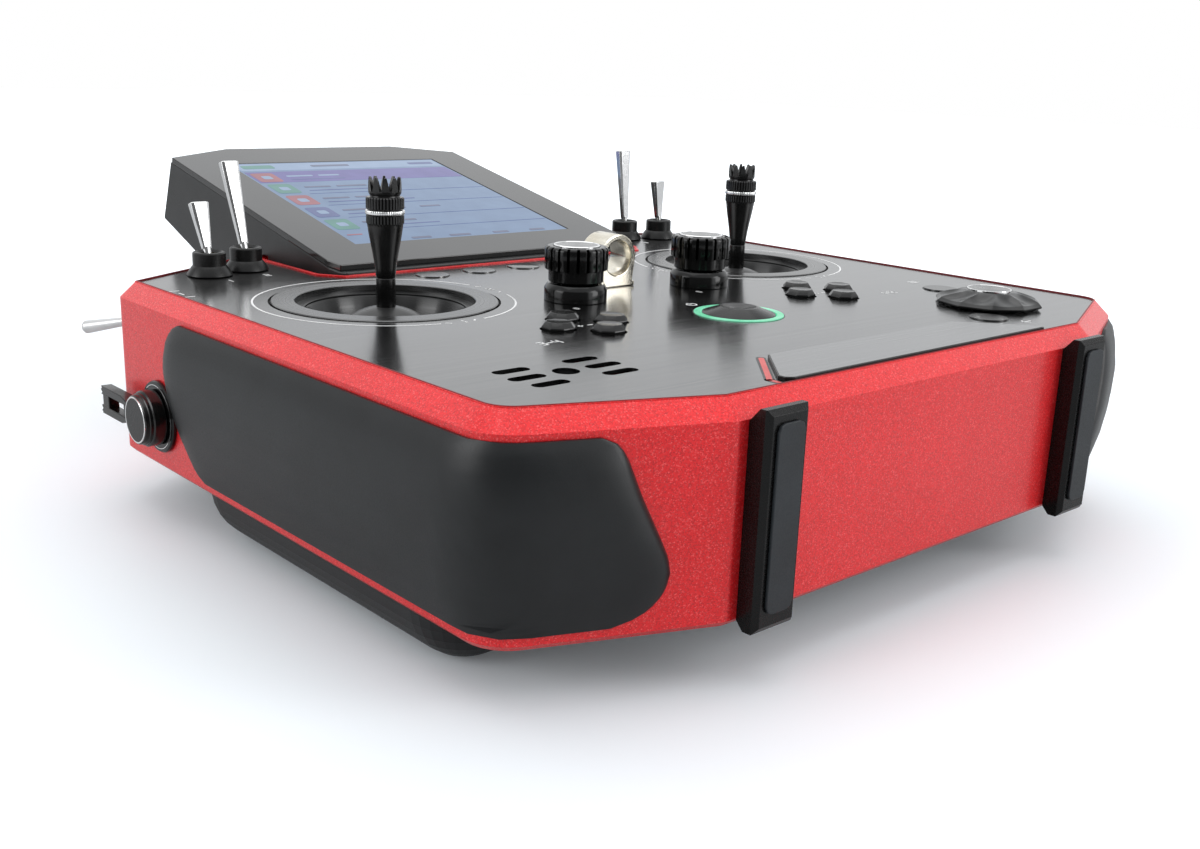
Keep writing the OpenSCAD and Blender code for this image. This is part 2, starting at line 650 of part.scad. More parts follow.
module stick() translate([gimbal_x, gimbal_y, -pivot_d]) {
    difference() {
        sphere(r = dome_r);
        sphere(r = dome_r - 1.5);
        bar(-dome_r - 1, dome_r * cos(dome_rim), dome_r + 1);
    }
    bar(-3, dome_r - 0.5, 4);
    bar(dome_r - 1, pivot_d + core_top, core_r);
    rotate([90, 0, 0]) cylinder(r = stick_pin_r, h = 2 * yoke_out - 0.4, center = true);
}
module left_stick() color(graphite) seat() left() stick();
module right_stick() color(graphite) seat() stick();

module stick_grip() at(gimbal_x, gimbal_y) difference() {
    union() {
        bar(-0.6, 6, shaft_r);
        translate([0, 0, 5.8]) cylinder(r1 = shaft_r, r2 = collar_r - 0.3, h = cone_top - 5.8);
        bar(cone_top, ring_z, collar_r);
        bar(ring_z + ring_h, ring_z + ring_h + 3.5, collar_r);
        difference() {
            bar(ring_z + ring_h + 3.4, stick_h, collar_r - 0.7);
            for (a = [0:45:135]) rotate([0, 0, a])
                block(-collar_r - 1, collar_r + 1, -0.6, 0.6, stick_h - 3.6, stick_h + 1);
            bar(stick_h - 3.6, stick_h + 1, 1.8);
        }
    }
    bar(-2, core_top + fit, core_r + pin_gap);
}
module left_stick_grip() color(black) seat() left() stick_grip();
module right_stick_grip() color(black) seat() stick_grip();

module lock_ring() at(gimbal_x, gimbal_y) boss(collar_r + 0.1, core_r + pin_gap, ring_z, ring_z + ring_h);
module left_lock_ring() color(steel) seat() left() lock_ring();
module right_lock_ring() color(steel) seat() lock_ring();

// ---- Toggle switches ----
module toggle_boot(r, neck, h) difference() {
    union() {
        cylinder(r1 = r, r2 = neck + 0.6, h = 3);
        bar(2.8, h, neck);
        bar(-wall - 1, seam, bush_r / 2);
    }
    bar(0.4, h + 1, toggle_bore);
}
module toggle_bodies() color(black) seat() sides() {
    for (p = [[short_x, short_y], [long_x, long_y]]) at(p[0], p[1]) {
        toggle_boot(boot_r, boot_neck_r, boot_h);
        block(-5, 5, -4, 4, -11.5, seat_z);
    }
    on_shoulder() {
        toggle_boot(boot_neck_r + 0.6, boot_neck_r - 0.4, 4);
        block(-3, 3, -4, 4, -14, -wall - run);
    }
}
// Ball, root and flattened bat of a lever that pivots at the origin
module ball() {
    sphere(r = toggle_bore - run);
    cross_bar(trunnion_r, trunnion_l);
}
module plate(w, t, z) block(-w / 2, w / 2, -t / 2, t / 2, z, z + thin);
module lever(l) {
    ball();
    bar(0, bat_root_z + 1, bat_root_w / 2 - 0.1);
    hull() {
        plate(bat_root_w, bat_root_t, bat_root_z);
        plate(bat_w, bat_t - 2 * bat_edge_t, l - thin);
        plate(bat_w - 2 * bat_edge_w, bat_t, l - thin);
    }
}
module face_lever(x, y, h, lean) translate([x, y, toggle_pivot]) rotate([-lean, 0, 0])
    lever(h - toggle_pivot);
module left_short_toggle() color(steel) seat() face_lever(-short_x, short_y, short_h, left_lean);
module left_long_toggle() color(steel) seat() face_lever(-long_x, long_y, long_h, left_lean);
module right_short_toggle() color(steel) seat() face_lever(short_x, short_y, short_h, right_lean);
module right_long_toggle() color(steel) seat() face_lever(long_x, long_y, long_h, right_lean);

module rear_lever() on_shoulder() translate([0, 0, toggle_pivot]) rotate([0, rear_lean, 0]) {
    rotate([0, 0, 90]) ball();
    translate([0, 0, 1]) cylinder(r1 = 1.3, r2 = 2.1, h = rear_toggle_l - toggle_pivot - 1);
}
module left_rear_toggle() color(steel) seat() left() rear_lever();
module right_rear_toggle() color(steel) seat() rear_lever();

// ---- Knobs, dial and side levers ----
module control_collars() color(black) seat() sides() {
    at(knob_x, knob_y) {
        boss(knob_r - 0.1, pin_bore, 0, collar_h);
        boss(bush_r / 2, pin_bore, seat_z - 1, seam);
        boss(8, pin_bore, board_top + 0.3, seat_z - 0.1);
    }
    on_side() difference() {
        union() {
            bar(0, bezel_h, side_bezel_r);
            bar(-wall - 1, seam, bush_r);
            bar(-wall - 10, -wall - fit, 9);
        }
        bar(-wall - 9, bezel_h + 1, pin_bore);
    }
}
module knob() at(knob_x, knob_y) {
    bar(seat_z - 4, collar_h + 1, pin_bore - pin_gap);
    bar(collar_h + run, knob_cap_z + 0.5, knob_r - 1.1);
    difference() {
        bar(knob_cap_z, knob_h - 0.4, knob_r);
        for (a = [0:15:345]) rotate([0, 0, a]) at(knob_r + 0.1, 0)
            bar(knob_cap_z - 1, knob_h + 1, 0.6, $fn = 6);
    }
    bar(knob_h - 1, knob_h, knob_r - 2.7);
}
module left_knob() color(black) seat() left() knob();
module right_knob() color(black) seat() knob();

module dial() color(black) seat() at(dial_x, dial_y) {
    bar(board_top + 1.4, 1, dial_pin_r);
    translate([0, 0, 0.4]) cylinder(r1 = dial_r - 0.6, r2 = dial_r, h = 0.7, $fn = dial_facets);
    translate([0, 0, 1]) cylinder(r1 = dial_r, r2 = 7.6, h = dial_h - 1.8, $fn = dial_facets);
    bar(dial_h - 1.2, dial_h, 6.4);
}

// Hub with a forked paddle behind it
module side_lever() on_side() {
    bar(-wall - 8, bezel_h + 1, pin_bore - pin_gap);
    bar(bezel_h + run, hub_h, hub_r);
    difference() {
        block(-4.2, 4.2, 3, paddle_l, bezel_h + 1.2, hub_h - 1.4);
        block(-1.8, 1.8, hub_r + 2.4, paddle_l - 5, 0, hub_h + 1);
        for (x = [-2.8, 0, 2.8]) translate([x, paddle_l + 0.4, 0]) rotate([0, 0, 45])
            translate([-0.9, -0.9, 0]) cube([1.8, 1.8, hub_h]);
    }
}
module left_side_lever() color(black) seat() left() side_lever();
module right_side_lever() color(black) seat() side_lever();

// ---- Push buttons ----
// Cap in its hole, a flange that keeps it in, and the stem over its switch
module button(r, h) {
    bar(seat_z - run - 1, h, r);
    bar(seat_z - run - 1, seat_z - run, r + 1);
    bar(stem_end, seat_z - run, 2);
}
module trim_button(x, a) at(x, trim_y) rotate([0, 0, a]) at(trim_d, 0) {
    button(trim_r, 0.6);
    translate([0, 0, 0.5]) cylinder(r1 = trim_r, r2 = trim_r * 0.74, h = trim_h - 0.5, $fn = 8);
}
module left_trim_in() color(black) seat() trim_button(-trim_x, 0);
module left_trim_up() color(black) seat() trim_button(-trim_x, 90);
module left_trim_out() color(black) seat() trim_button(-trim_x, 180);
module left_trim_down() color(black) seat() trim_button(-trim_x, 270);
module right_trim_out() color(black) seat() trim_button(trim_x, 0);
module right_trim_up() color(black) seat() trim_button(trim_x, 90);
module right_trim_in() color(black) seat() trim_button(trim_x, 180);
module right_trim_down() color(black) seat() trim_button(trim_x, 270);

module flat_button(i) at(flat_buttons[i][0], flat_buttons[i][1]) button(flat_r, flat_h);
module function_button_1() color(black) seat() flat_button(0);
module function_button_2() color(black) seat() flat_button(1);
module function_button_3() color(black) seat() flat_button(2);
module function_button_4() color(black) seat() flat_button(3);
module function_button_5() color(black) seat() flat_button(4);
module menu_button() color(black) seat() flat_button(5);
module escape_button() color(black) seat() flat_button(6);

module power_button() color(graphite) seat() at(0, power_y) difference() {
    union() {
        bar(stem_end, ring_top, power_r);
        translate([0, 0, ring_top]) cylinder(r1 = power_r, r2 = dish_r, h = dish_top - ring_top);
    }
    translate([0, 0, dish_top - dish_d]) cylinder(r1 = dish_r / 4, r2 = dish_r - 0.4, h = dish_d + 0.01);
}
module power_ring() color([0.5, 0.95, 0.7]) seat() at(0, power_y)
    boss(ring_r, ring_r - ring_w, board_top, ring_top);

module control_board() color(board_green) seat() {
    for (b = board_parts) block(b[0], b[1], b[2], b[3], board_z, board_top);
    sides() for (a = [0:90:270]) at(trim_x, trim_y) rotate([0, 0, a]) at(trim_d, 0) tact_switch();
    for (p = flat_buttons) at(p[0], p[1]) tact_switch();
    at(0, power_y) tact_switch();
    at(dial_x, dial_y) boss(7, dial_pin_r + pin_gap, board_top - seam, seat_z - run);
}
module tact_switch()
    block(-tact_w / 2, tact_w / 2, -tact_w / 2, tact_w / 2, board_top - seam, board_top + switch_h);

module speaker() color(black) seat() at(-speaker[0], speaker[1]) {
    bar(seat_z - speaker_t, seat_z, speaker_r);
    bar(seat_z - speaker_t - magnet_t, seat_z - speaker_t + seam, magnet_r);
}

case_frame();
face_plate();
back_cover();
battery_cover();
left_side_grip();
right_side_grip();
left_palm_grip();
right_palm_grip();
stand_feet();
foot_pads();
display_housing();
display_bezel();
lcd_panel();
front_plaque();
strap_eyelet();
left_gimbal_frame();
right_gimbal_frame();
toggle_bodies();
control_collars();
control_board();
power_ring();
speaker();
main_board();
battery_pack();
case_screws();
left_yoke();
left_stick();
left_stick_grip();
left_lock_ring();
right_yoke();
right_stick();
right_stick_grip();
right_lock_ring();
left_short_toggle();
left_long_toggle();
right_short_toggle();
right_long_toggle();
left_rear_toggle();
right_rear_toggle();
left_knob();
right_knob();
left_trim_up();
left_trim_down();
left_trim_out();
left_trim_in();
right_trim_up();
right_trim_down();
right_trim_in();
right_trim_out();
function_button_1();
function_button_2();
function_button_3();
function_button_4();
function_button_5();
menu_button();
escape_button();
power_button();
dial();
left_side_lever();
right_side_lever();
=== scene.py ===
"""Looks of a handheld radio-control transmitter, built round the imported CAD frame.

Shapes are worked out in millimetres in the plate frame: x = 0 on the centre line, y = 0 at the front
edge of the face, z = 0 on the face plate's top. place() turns them into metres of the row frame.
"""
from math import acos, atan2, cos, degrees, dist, hypot, pi, radians, sin, sqrt, tan, tau

import bmesh
import bpy
from mathutils import Matrix, Vector


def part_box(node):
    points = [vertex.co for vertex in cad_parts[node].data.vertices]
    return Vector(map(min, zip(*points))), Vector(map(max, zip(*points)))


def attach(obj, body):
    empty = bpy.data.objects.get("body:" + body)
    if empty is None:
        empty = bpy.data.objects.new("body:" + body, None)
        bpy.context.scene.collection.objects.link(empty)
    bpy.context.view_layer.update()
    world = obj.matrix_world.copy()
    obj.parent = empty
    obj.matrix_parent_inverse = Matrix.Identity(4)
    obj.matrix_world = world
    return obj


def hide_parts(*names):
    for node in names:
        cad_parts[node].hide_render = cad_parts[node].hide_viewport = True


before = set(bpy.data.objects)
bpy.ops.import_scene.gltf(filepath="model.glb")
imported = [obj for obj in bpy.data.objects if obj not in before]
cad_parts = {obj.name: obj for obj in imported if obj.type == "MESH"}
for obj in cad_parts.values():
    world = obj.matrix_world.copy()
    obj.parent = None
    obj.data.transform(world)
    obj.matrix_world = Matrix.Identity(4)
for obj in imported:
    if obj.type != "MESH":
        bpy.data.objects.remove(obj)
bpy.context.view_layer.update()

MM = 0.001
PLATE_EDGE = 0.95  # from the front edge of the face to the plate's own edge
plate_low, plate_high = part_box("face_plate")
ORIGIN = Vector((0, plate_low.y - PLATE_EDGE * MM, plate_high.z))


def place(point):
    return ORIGIN + Vector(point) * MM


# ---- sizes shared with the CAD
# Where controls come in pairs, the place is the right one's, and the left one is its mirror image.
CASE_HALF = 125  # from the centre line to a side wall
BEVEL_W = 4.4  # from the face's outline out to the walls
NOSE_R = 8  # rounding of the face between a front diagonal and a side
FACE = [(-73.7, 0), (73.7, 0), (120.6, 19), (120.6, 195.5), (71, 225), (-71, 225), (-120.6, 195.5),
        (-120.6, 19)]
GIMBAL = (73.7, 132.2)
PIVOT_D = 20.7  # depth of the stick's pivot
SCREEN_Y, SCREEN_Z, SCREEN_TILT = 176.5, 3.2, 12
KNOB = (26, 105)
SHORT, LONG = (96.5, 196), (82, 200.5)  # the short and the long toggle
SHORT_H, LONG_H = 22.6, 34.6
TOGGLE_PIVOT = 3.6
LEFT_THROW, RIGHT_THROW = 18, 5  # degrees that the left and the right toggles lean back at rest
TRIM = (49, 74.2)  # middle of a cross of trim buttons
TRIM_D = 9.3  # from there to a button
DIAL = (79, 33)
POWER_Y, POWER_GAP_R = 64, 12.95  # the power button, and the middle of the gap round its ring
FUNCTION_STEP, FUNCTION_Y = 18.5, 162.4
MENU, ESCAPE = (91, 58), (58.6, 20)
FLAT_GAP_R = 5.6  # middle of the gap round a function, menu or escape button
SIDE_Y, SIDE_DEPTH = 171, 35  # the side lever's axis
SHOULDER_POINT, SHOULDER_DEPTH = (113.09, 209.28), 15  # the rear toggle's axis, at the wall
SHOULDER_NORMAL = (0.511, 0.859)


# ---- meshes
def shift(x, y, z=0.0):
    return Matrix.Translation((x, y, z))


def turn(axis, angle):
    return Matrix.Rotation(radians(angle), 4, axis)


LEFT, RIGHT = -1, 1
SIDES = ((LEFT, "left"), (RIGHT, "right"))
MIRROR = Matrix.Scale(-1, 4, (1, 0, 0))
HEAD = shift(0, SCREEN_Y, SCREEN_Z) @ turn("X", SCREEN_TILT)  # the tilted display, its front edge at y = 0


def side_matrix(s):
    return MIRROR if s == LEFT else Matrix.Identity(4)


def lever_matrix(s):
    """The side lever's axis, upwards along Z from the wall."""
    return side_matrix(s) @ shift(CASE_HALF, SIDE_Y, -SIDE_DEPTH) @ turn("Y", 90)


def shoulder_matrix(s):
    """The rear toggle's axis, upwards along Z from the slanted wall."""
    x, y = SHOULDER_POINT
    heading = degrees(atan2(SHOULDER_NORMAL[1], SHOULDER_NORMAL[0]))
    return side_matrix(s) @ shift(x, y, -SHOULDER_DEPTH) @ turn("Z", heading) @ turn("Y", 90)


class Shape:
    """Points in millimetres and faces, each face with the number of its material."""

    def __init__(self):
        self.points, self.faces, self.marks = [], [], []

    def add(self, solid, at=Matrix.Identity(4), mark=0):
        points, faces = solid
        base = len(self.points)
        self.points += [at @ Vector(p) for p in points]
        self.faces += [[base + i for i in f] for f in faces]
        self.marks += [mark] * len(faces)
        return self


def loft(rings, wrap=False):
    """Joins rings of as many points each; the two ends are closed unless the rings wrap round."""
    n = len(rings[0])
    points = [p for ring in rings for p in ring]
    faces = []
    for i in range(len(rings) if wrap else len(rings) - 1):
        a, b = i * n, (i + 1) % len(rings) * n
        faces += [[a + j, a + (j + 1) % n, b + (j + 1) % n, b + j] for j in range(n)]
    if not wrap:
        last = (len(rings) - 1) * n
        faces += [list(range(n))[::-1], [last + j for j in range(n)]]
    return points, faces


def lathe(profile, steps=64, wrap=False, radius=None):
    """Turns (radius, height) pairs about Z. steps is a count, or a list of angles."""
    angles = steps if isinstance(steps, list) else [tau * i / steps for i in range(steps)]
    rings = []
    for r, z in profile:
        reach = [radius(a, r, z) if radius else r for a in angles]
        rings.append([(k * cos(a), k * sin(a), z) for k, a in zip(reach, angles)])
    return loft(rings, wrap)


def prism(outline, z0, z1, chamfer=0.0):
    """An extruded outline, counter-clockwise, with its top and bottom edges chamfered."""
    if not chamfer:
        return loft([[(x, y, z) for x, y in outline] for z in (z0, z1)])
    small = inset(outline, chamfer)
    levels = [(small, z0), (outline, z0 + chamfer), (outline, z1 - chamfer), (small, z1)]
    return loft([[(x, y, z) for x, y in o] for o, z in levels])


def box(x0, x1, y0, y1, z0, z1, chamfer=0.0):
    return prism([(x0, y0), (x1, y0), (x1, y1), (x0, y1)], z0, z1, chamfer)


def inward(a, b):
    """Unit normal to the left of the edge from a to b."""
    ux, uy = b[0] - a[0], b[1] - a[1]
    length = hypot(ux, uy)
    return -uy / length, ux / length


def around(points, i):
    """A corner of a closed outline, between the corners before and after it."""
    return points[i - 1], points[i], points[(i + 1) % len(points)]


def inset(points, d):
    """Moves every edge of a counter-clockwise outline inward by d."""
    moved = []
    for i in range(len(points)):
        a, b, c = around(points, i)
        (mx, my), (nx, ny) = inward(a, b), inward(b, c)
        k = d / (1 + mx * nx + my * ny)
        moved.append((b[0] + k * (mx + nx), b[1] + k * (my + ny)))
    return moved


def rounded(points, r, steps=4):
    """Replaces every corner of an outline by an arc."""
    found = []
    for i in range(len(points)):
        a, b, c = around(points, i)
        (mx, my), (nx, ny) = inward(a, b), inward(b, c)
        dot = mx * nx + my * ny
        left = 1 if mx * ny - my * nx > 0 else -1
        ox, oy = (b[j] + left * r * ((mx, my)[j] + (nx, ny)[j]) / (1 + dot) for j in (0, 1))
        start = atan2(-left * my, -left * mx)
        sweep = acos(max(-1.0, min(1.0, dot))) * left
        for j in range(steps + 1):
            t = start + sweep * j / steps
            found.append((ox + r * cos(t), oy + r * sin(t)))
    return found


def bar(x, y, length, width, angle=0.0, steps=6):
    """A flat stroke with round ends: its outline about (x, y)."""
    half, r = length / 2 - width / 2, width / 2
    local = []
    for middle, start in ((half, -90), (-half, 90)):
        for j in range(steps + 1):
            a = radians(start + 180 * j / steps)
            local.append((middle + r * cos(a), r * sin(a)))
    c, s = cos(radians(angle)), sin(radians(angle))
    return [(x + c * px - s * py, y + s * px + c * py) for px, py in local]


def piece(name, shape, finishes, body="case", replaces=(), smooth=32, bevel=0.0):
    """Makes the object of a shape, with its finishes, and fixes it to its CAD body."""
    mesh = bpy.data.meshes.new(name)
    mesh.from_pydata([place(p) for p in shape.points], [], shape.faces)
    for finish in finishes:
        mesh.materials.append(finish)
    mesh.polygons.foreach_set("material_index", shape.marks)
    bm = bmesh.new()
    bm.from_mesh(mesh)
    bmesh.ops.remove_doubles(bm, verts=bm.verts, dist=2e-6)
    bmesh.ops.dissolve_degenerate(bm, edges=bm.edges, dist=1e-7)
    bmesh.ops.recalc_face_normals(bm, faces=bm.faces)
    bm.to_mesh(mesh)
    bm.free()
    mesh.shade_smooth()
    mesh.set_sharp_from_angle(angle=radians(smooth))
    made = bpy.data.objects.new(name, mesh)
    bpy.context.scene.collection.objects.link(made)
    if bevel:
        soften(made, bevel)
    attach(made, body)
    if replaces:
        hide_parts(*replaces)
    return made


def soften(thing, width):
    """Rounds the edges by a bevel of width mm."""
    edge = thing.modifiers.new("edges", "BEVEL")
    edge.width = width * MM
    edge.segments = 2
    edge.limit_method = "ANGLE"
    edge.angle_limit = radians(30)


# ---- materials
class Tree:
    """A node tree, with its nodes added one by one."""

    def __init__(self, tree):
        self.tree = tree
        self.place = self.add("ShaderNodeTexCoord").outputs["Object"]

    def add(self, kind, links=(), **settings):
        """links maps sockets to what feeds them: another node's socket, a number, a vector or a colour.

        A colour can be one number, for a grey.
        """
        made = self.tree.nodes.new(kind)
        for key, value in settings.items():
            setattr(made, key, value)
        for socket, source in dict(links).items():
            self.feed(made.inputs[socket], source)
        return made

    def feed(self, socket, source):
        if isinstance(source, bpy.types.NodeSocket):
            self.tree.links.new(source, socket)
        elif socket.type == "RGBA":
            r, g, b = (source,) * 3 if isinstance(source, float) else source
            socket.default_value = (r, g, b, 1)
        else:
            socket.default_value = source

    def math(self, kind, *values):
        return self.add("ShaderNodeMath", dict(enumerate(values)), operation=kind).outputs[0]

    def vector(self, kind, first, second=(0, 0, 0), out="Vector"):
        return self.add("ShaderNodeVectorMath", {0: first, 1: second}, operation=kind).outputs[out]

    def mapped(self, scale, offset=(0, 0, 0)):
        """The object's own coordinates times scale, moved by offset."""
        links = {"Vector": self.place, "Scale": scale, "Location": offset}
        return self.add("ShaderNodeMapping", links).outputs[0]

    def noise(self, scale, detail=3.0, vector=None):
        links = {"Vector": vector or self.place, "Scale": scale, "Detail": detail}
        return self.add("ShaderNodeTexNoise", links).outputs["Fac"]

    def spread(self, value, low, high, start=0.3, end=0.7):
        """Maps start..end, the range that most of a noise lies in, to low..high."""
        links = {"Value": value, "From Min": start, "From Max": end, "To Min": low, "To Max": high}
        return self.add("ShaderNodeMapRange", links).outputs["Result"]

    def mix(self, factor, first, second, blend="MIX"):
        made = self.add("ShaderNodeMix", {"Factor": factor}, data_type="RGBA", blend_type=blend)
        for socket, colour in zip([i for i in made.inputs if i.type == "RGBA"], (first, second)):
            self.feed(socket, colour)
        return next(o for o in made.outputs if o.type == "RGBA")

    def ramp(self, value, stops):
        """A grey ramp through (place, tone) pairs, from place 0 to place 1."""
        made = self.add("ShaderNodeValToRGB", {"Fac": value})
        steps = made.color_ramp.elements
        for where, _ in stops[1:-1]:
            steps.new(where)
        for step, (_, tone) in zip(steps, stops):
            step.color = (tone, tone, tone, 1)
        return made.outputs["Color"]


class Finish(Tree):
    """A material round the Principled shader."""

    def __init__(self, name):
        self.material = bpy.data.materials.new(name)
        self.material.use_nodes = True
        super().__init__(self.material.node_tree)
        self.shader = next(n for n in self.tree.nodes if n.type == "BSDF_PRINCIPLED")

    def bump(self, height, strength, depth):
        links = {"Height": height, "Strength": strength, "Distance": depth * MM}
        return self.add("ShaderNodeBump", links).outputs["Normal"]

    def set(self, **sockets):
        """Sets the shader's own sockets to numbers, or links them."""
        for key, value in sockets.items():
            self.feed(self.shader.inputs[key.replace("_", " ")], value)
        return self.material


def plain(name, dark, light, rough, metallic=0.0, grain=90, fine=2600, relief=0.01,
          stretch=(1, 1, 1), **more):
    """Cloudy colour from dark to light, roughness from rough[0] to rough[1], and a fine relief."""
    t = Finish(name)
    here = t.mapped(stretch)
    cloud = t.noise(grain, 4, here)
    speck = t.noise(fine, 2, here)
    t.set(Base_Color=t.mix(t.spread(cloud, 0, 1), dark, light))
    t.set(Roughness=t.spread(speck, *rough), Metallic=metallic)
    if relief:
        t.set(Normal=t.bump(speck, 0.6, relief))
    return t.set(**more)


def bluish(v, tint):
    """A grey, bluer by the share tint."""
    return v * (1 - tint), v, v * (1 + tint)


def make_paint():
    """Red metal-flake paint under clear lacquer."""
    t = Finish("red_flake_paint")
    flakes = t.add("ShaderNodeTexVoronoi", {"Vector": t.place, "Scale": 3700})
    flake = t.add("ShaderNodeSeparateColor", {"Color": flakes.outputs["Color"]}).outputs
    under = t.mix(t.spread(t.noise(40, 3), 0, 1), (0.84, 0.010, 0.014), (0.92, 0.014, 0.020))
    # Painted sparkle: some flakes are painted lighter as glints (lit), others darker as their shade (deep),
    # over the flakes' own relief.
    lit = t.mix(t.spread(flake[0], 0, 1, 0.76, 1.0), under, (0.98, 0.11, 0.11))
    deep = t.mix(t.spread(flake[1], 0, 0.6, 0.5, 1.0), lit, (0.46, 0.004, 0.009))
    t.set(Base_Color=deep, Roughness=t.spread(flake[2], 0.30, 0.48, 0, 1), Metallic=0.3)
    t.set(Normal=t.bump(flake[0], 0.32, 0.018))
    return t.set(Coat_Weight=0.4, Coat_Roughness=0.16, Coat_Normal=t.bump(t.noise(700, 2), 0.1, 0.01))


def make_brushed(name, dark, light, rough):
    """Anodised sheet brushed along X, so that its reflections are drawn out along Y."""
    t = Finish(name)
    lines = t.noise(1, 3, t.mapped((22, 5200, 40)))
    bands = t.noise(1, 2, t.mapped((6, 900, 10)))
    tone = t.math("ADD", lines, t.math("MULTIPLY", bands, 0.35))
    t.set(Base_Color=t.mix(t.spread(tone, 0, 1, 0.5, 0.85), dark, light))
    t.set(Roughness=t.spread(lines, *rough), Metallic=1.0, Anisotropic=0.45)
    t.set(Normal=t.bump(lines, 0.14, 0.004))
    return t.set(Tangent=t.add("ShaderNodeCombineXYZ", {"Y": 1.0}).outputs["Vector"])


def make_turned(name, centre, dark, light, rough, metallic=1.0, drawn=0.6, **more):
    """Metal turned about an upright axis at (x, y) of the plate frame: fine rings round it."""
    t = Finish(name)
    here = place((centre[0], centre[1], 0))
    out = t.mapped((1, 1, 0), (-here.x, -here.y, 0))
    radius = t.vector("LENGTH", out, out="Value")
    rings = t.add("ShaderNodeTexNoise", {"W": radius, "Scale": 2600}, noise_dimensions="1D").outputs["Fac"]
    t.set(Base_Color=t.mix(t.spread(t.noise(50), 0, 1), dark, light), Metallic=metallic)
    t.set(Roughness=t.spread(rings, *rough), Normal=t.bump(rings, 0.3, 0.004))
    t.set(Anisotropic=drawn, Tangent=t.vector("NORMALIZE", out))
    return t.set(**more)


def make_glow(name, dark, light, strength, rough=(0.25, 0.35), **more):
    """A lit surface, nearly black where no light of its own comes through."""
    t = Finish(name)
    tone = t.mix(t.spread(t.noise(120), 0, 1), dark, light)
    t.set(Emission_Color=tone, Emission_Strength=strength, Roughness=t.spread(t.noise(900), *rough))
    return t.set(Base_Color=t.mix(t.spread(t.noise(60), 0, 1), 0.008, 0.016), **more)


RED = make_paint()
# Painted shade: the dark red line of the frame's lip stands for the shaded inner edge of the frame.
PAINTED_SHADE_RED = plain("painted_shade_red_edge", (0.16, 0.003, 0.006), (0.22, 0.005, 0.008), (0.4, 0.55), relief=0.004)
BRUSHED = make_brushed("brushed_dark_plate", bluish(0.155, 0.01), 0.215, (0.14, 0.2))
PLAQUE = make_brushed("brushed_plaque", bluish(0.24, 0.01), 0.31, (0.2, 0.28))
PLASTIC = plain("moulded_black_plastic", 0.008, 0.014, (0.38, 0.55), fine=3200, relief=0.03)
SATIN_PLASTIC = plain("satin_black_plastic", 0.005, 0.009, (0.26, 0.38), relief=0.012,
                      Specular_IOR_Level=0.36)
FOOT_BLACK = plain("foot_frame_black", 0.003, 0.006, (0.2, 0.32), relief=0.012, Specular_IOR_Level=0.24)
GRAPHITE = plain("graphite_shell", bluish(0.012, 0.04), bluish(0.019, 0.04), (0.38, 0.5),
                 fine=2800, relief=0.02)
RUBBER = plain("soft_black_rubber", bluish(0.0072, 0.12), bluish(0.0115, 0.12), (0.34, 0.44),
               fine=3000, relief=0.02, Specular_IOR_Level=0.42)
PAD = plain("foot_pad_rubber", bluish(0.014, 0.22), bluish(0.022, 0.22), (0.42, 0.56), relief=0.03,
            Specular_IOR_Level=0.42)
ANODISED = plain("black_anodised_metal", 0.004, 0.008, (0.16, 0.26), fine=2000, relief=0.004)
KNOB_BLACK = plain("knob_black_metal", 0.003, 0.006, (0.09, 0.15), fine=2000, relief=0.003,
                   Specular_IOR_Level=0.38)
CAP_METAL = plain("button_cap_graphite", 0.15, 0.19, (0.14, 0.22), metallic=1.0, fine=1800, relief=0.003)
TRIM_BLACK = plain("trim_button_black", 0.010, 0.016, (0.14, 0.22), fine=2400, relief=0.01)
CHROME = plain("polished_chrome", 0.82, 0.92, (0.04, 0.1), metallic=1.0, fine=900, relief=0.003)
BAT_CHROME = plain("toggle_chrome", 0.72, 0.84, (0.1, 0.18), metallic=1.0, fine=900, relief=0.003)
STEEL = plain("satin_steel", 0.55, 0.68, (0.24, 0.36), metallic=1.0, stretch=(1, 1, 0.1))
LIGHT_METAL = plain("cast_light_metal", 0.62, 0.74, (0.3, 0.42), metallic=0.9)
WARM = plain("nickel_warm_metal", (0.74, 0.69, 0.58), (0.85, 0.81, 0.71), (0.12, 0.24), metallic=1.0,
             grain=160)
BRASS = plain("brass_bush", (0.40, 0.31, 0.14), (0.60, 0.49, 0.24), (0.2, 0.34), metallic=1.0)
GLOSS = plain("display_bezel_gloss", 0.022, 0.030, (0.07, 0.11), grain=30, fine=300, relief=0.0)
BOARD = plain("circuit_board_green", (0.010, 0.08, 0.030), (0.016, 0.12, 0.045), (0.35, 0.5), grain=300)
WRAP = plain("battery_blue_wrap", (0.02, 0.06, 0.22), (0.03, 0.09, 0.30), (0.25, 0.4), relief=0.02)
INK = plain("white_print", 0.72, 0.86, (0.4, 0.55), relief=0.0)
# Painted shade: black bands on the plate stand for the shade in the gaps round the buttons and in the slit
# beside the plaque.
GAP_SHADE_BLACK = plain("painted_gap_shade_black", 0.006, 0.012, (0.3, 0.45), relief=0.0)
RED_INK = plain("red_inlay", (0.58, 0.05, 0.05), (0.70, 0.08, 0.07), (0.3, 0.45), relief=0.0)
HOLE = plain("dark_mesh", 0.004, 0.010, (0.6, 0.8), fine=1800, relief=0.1)

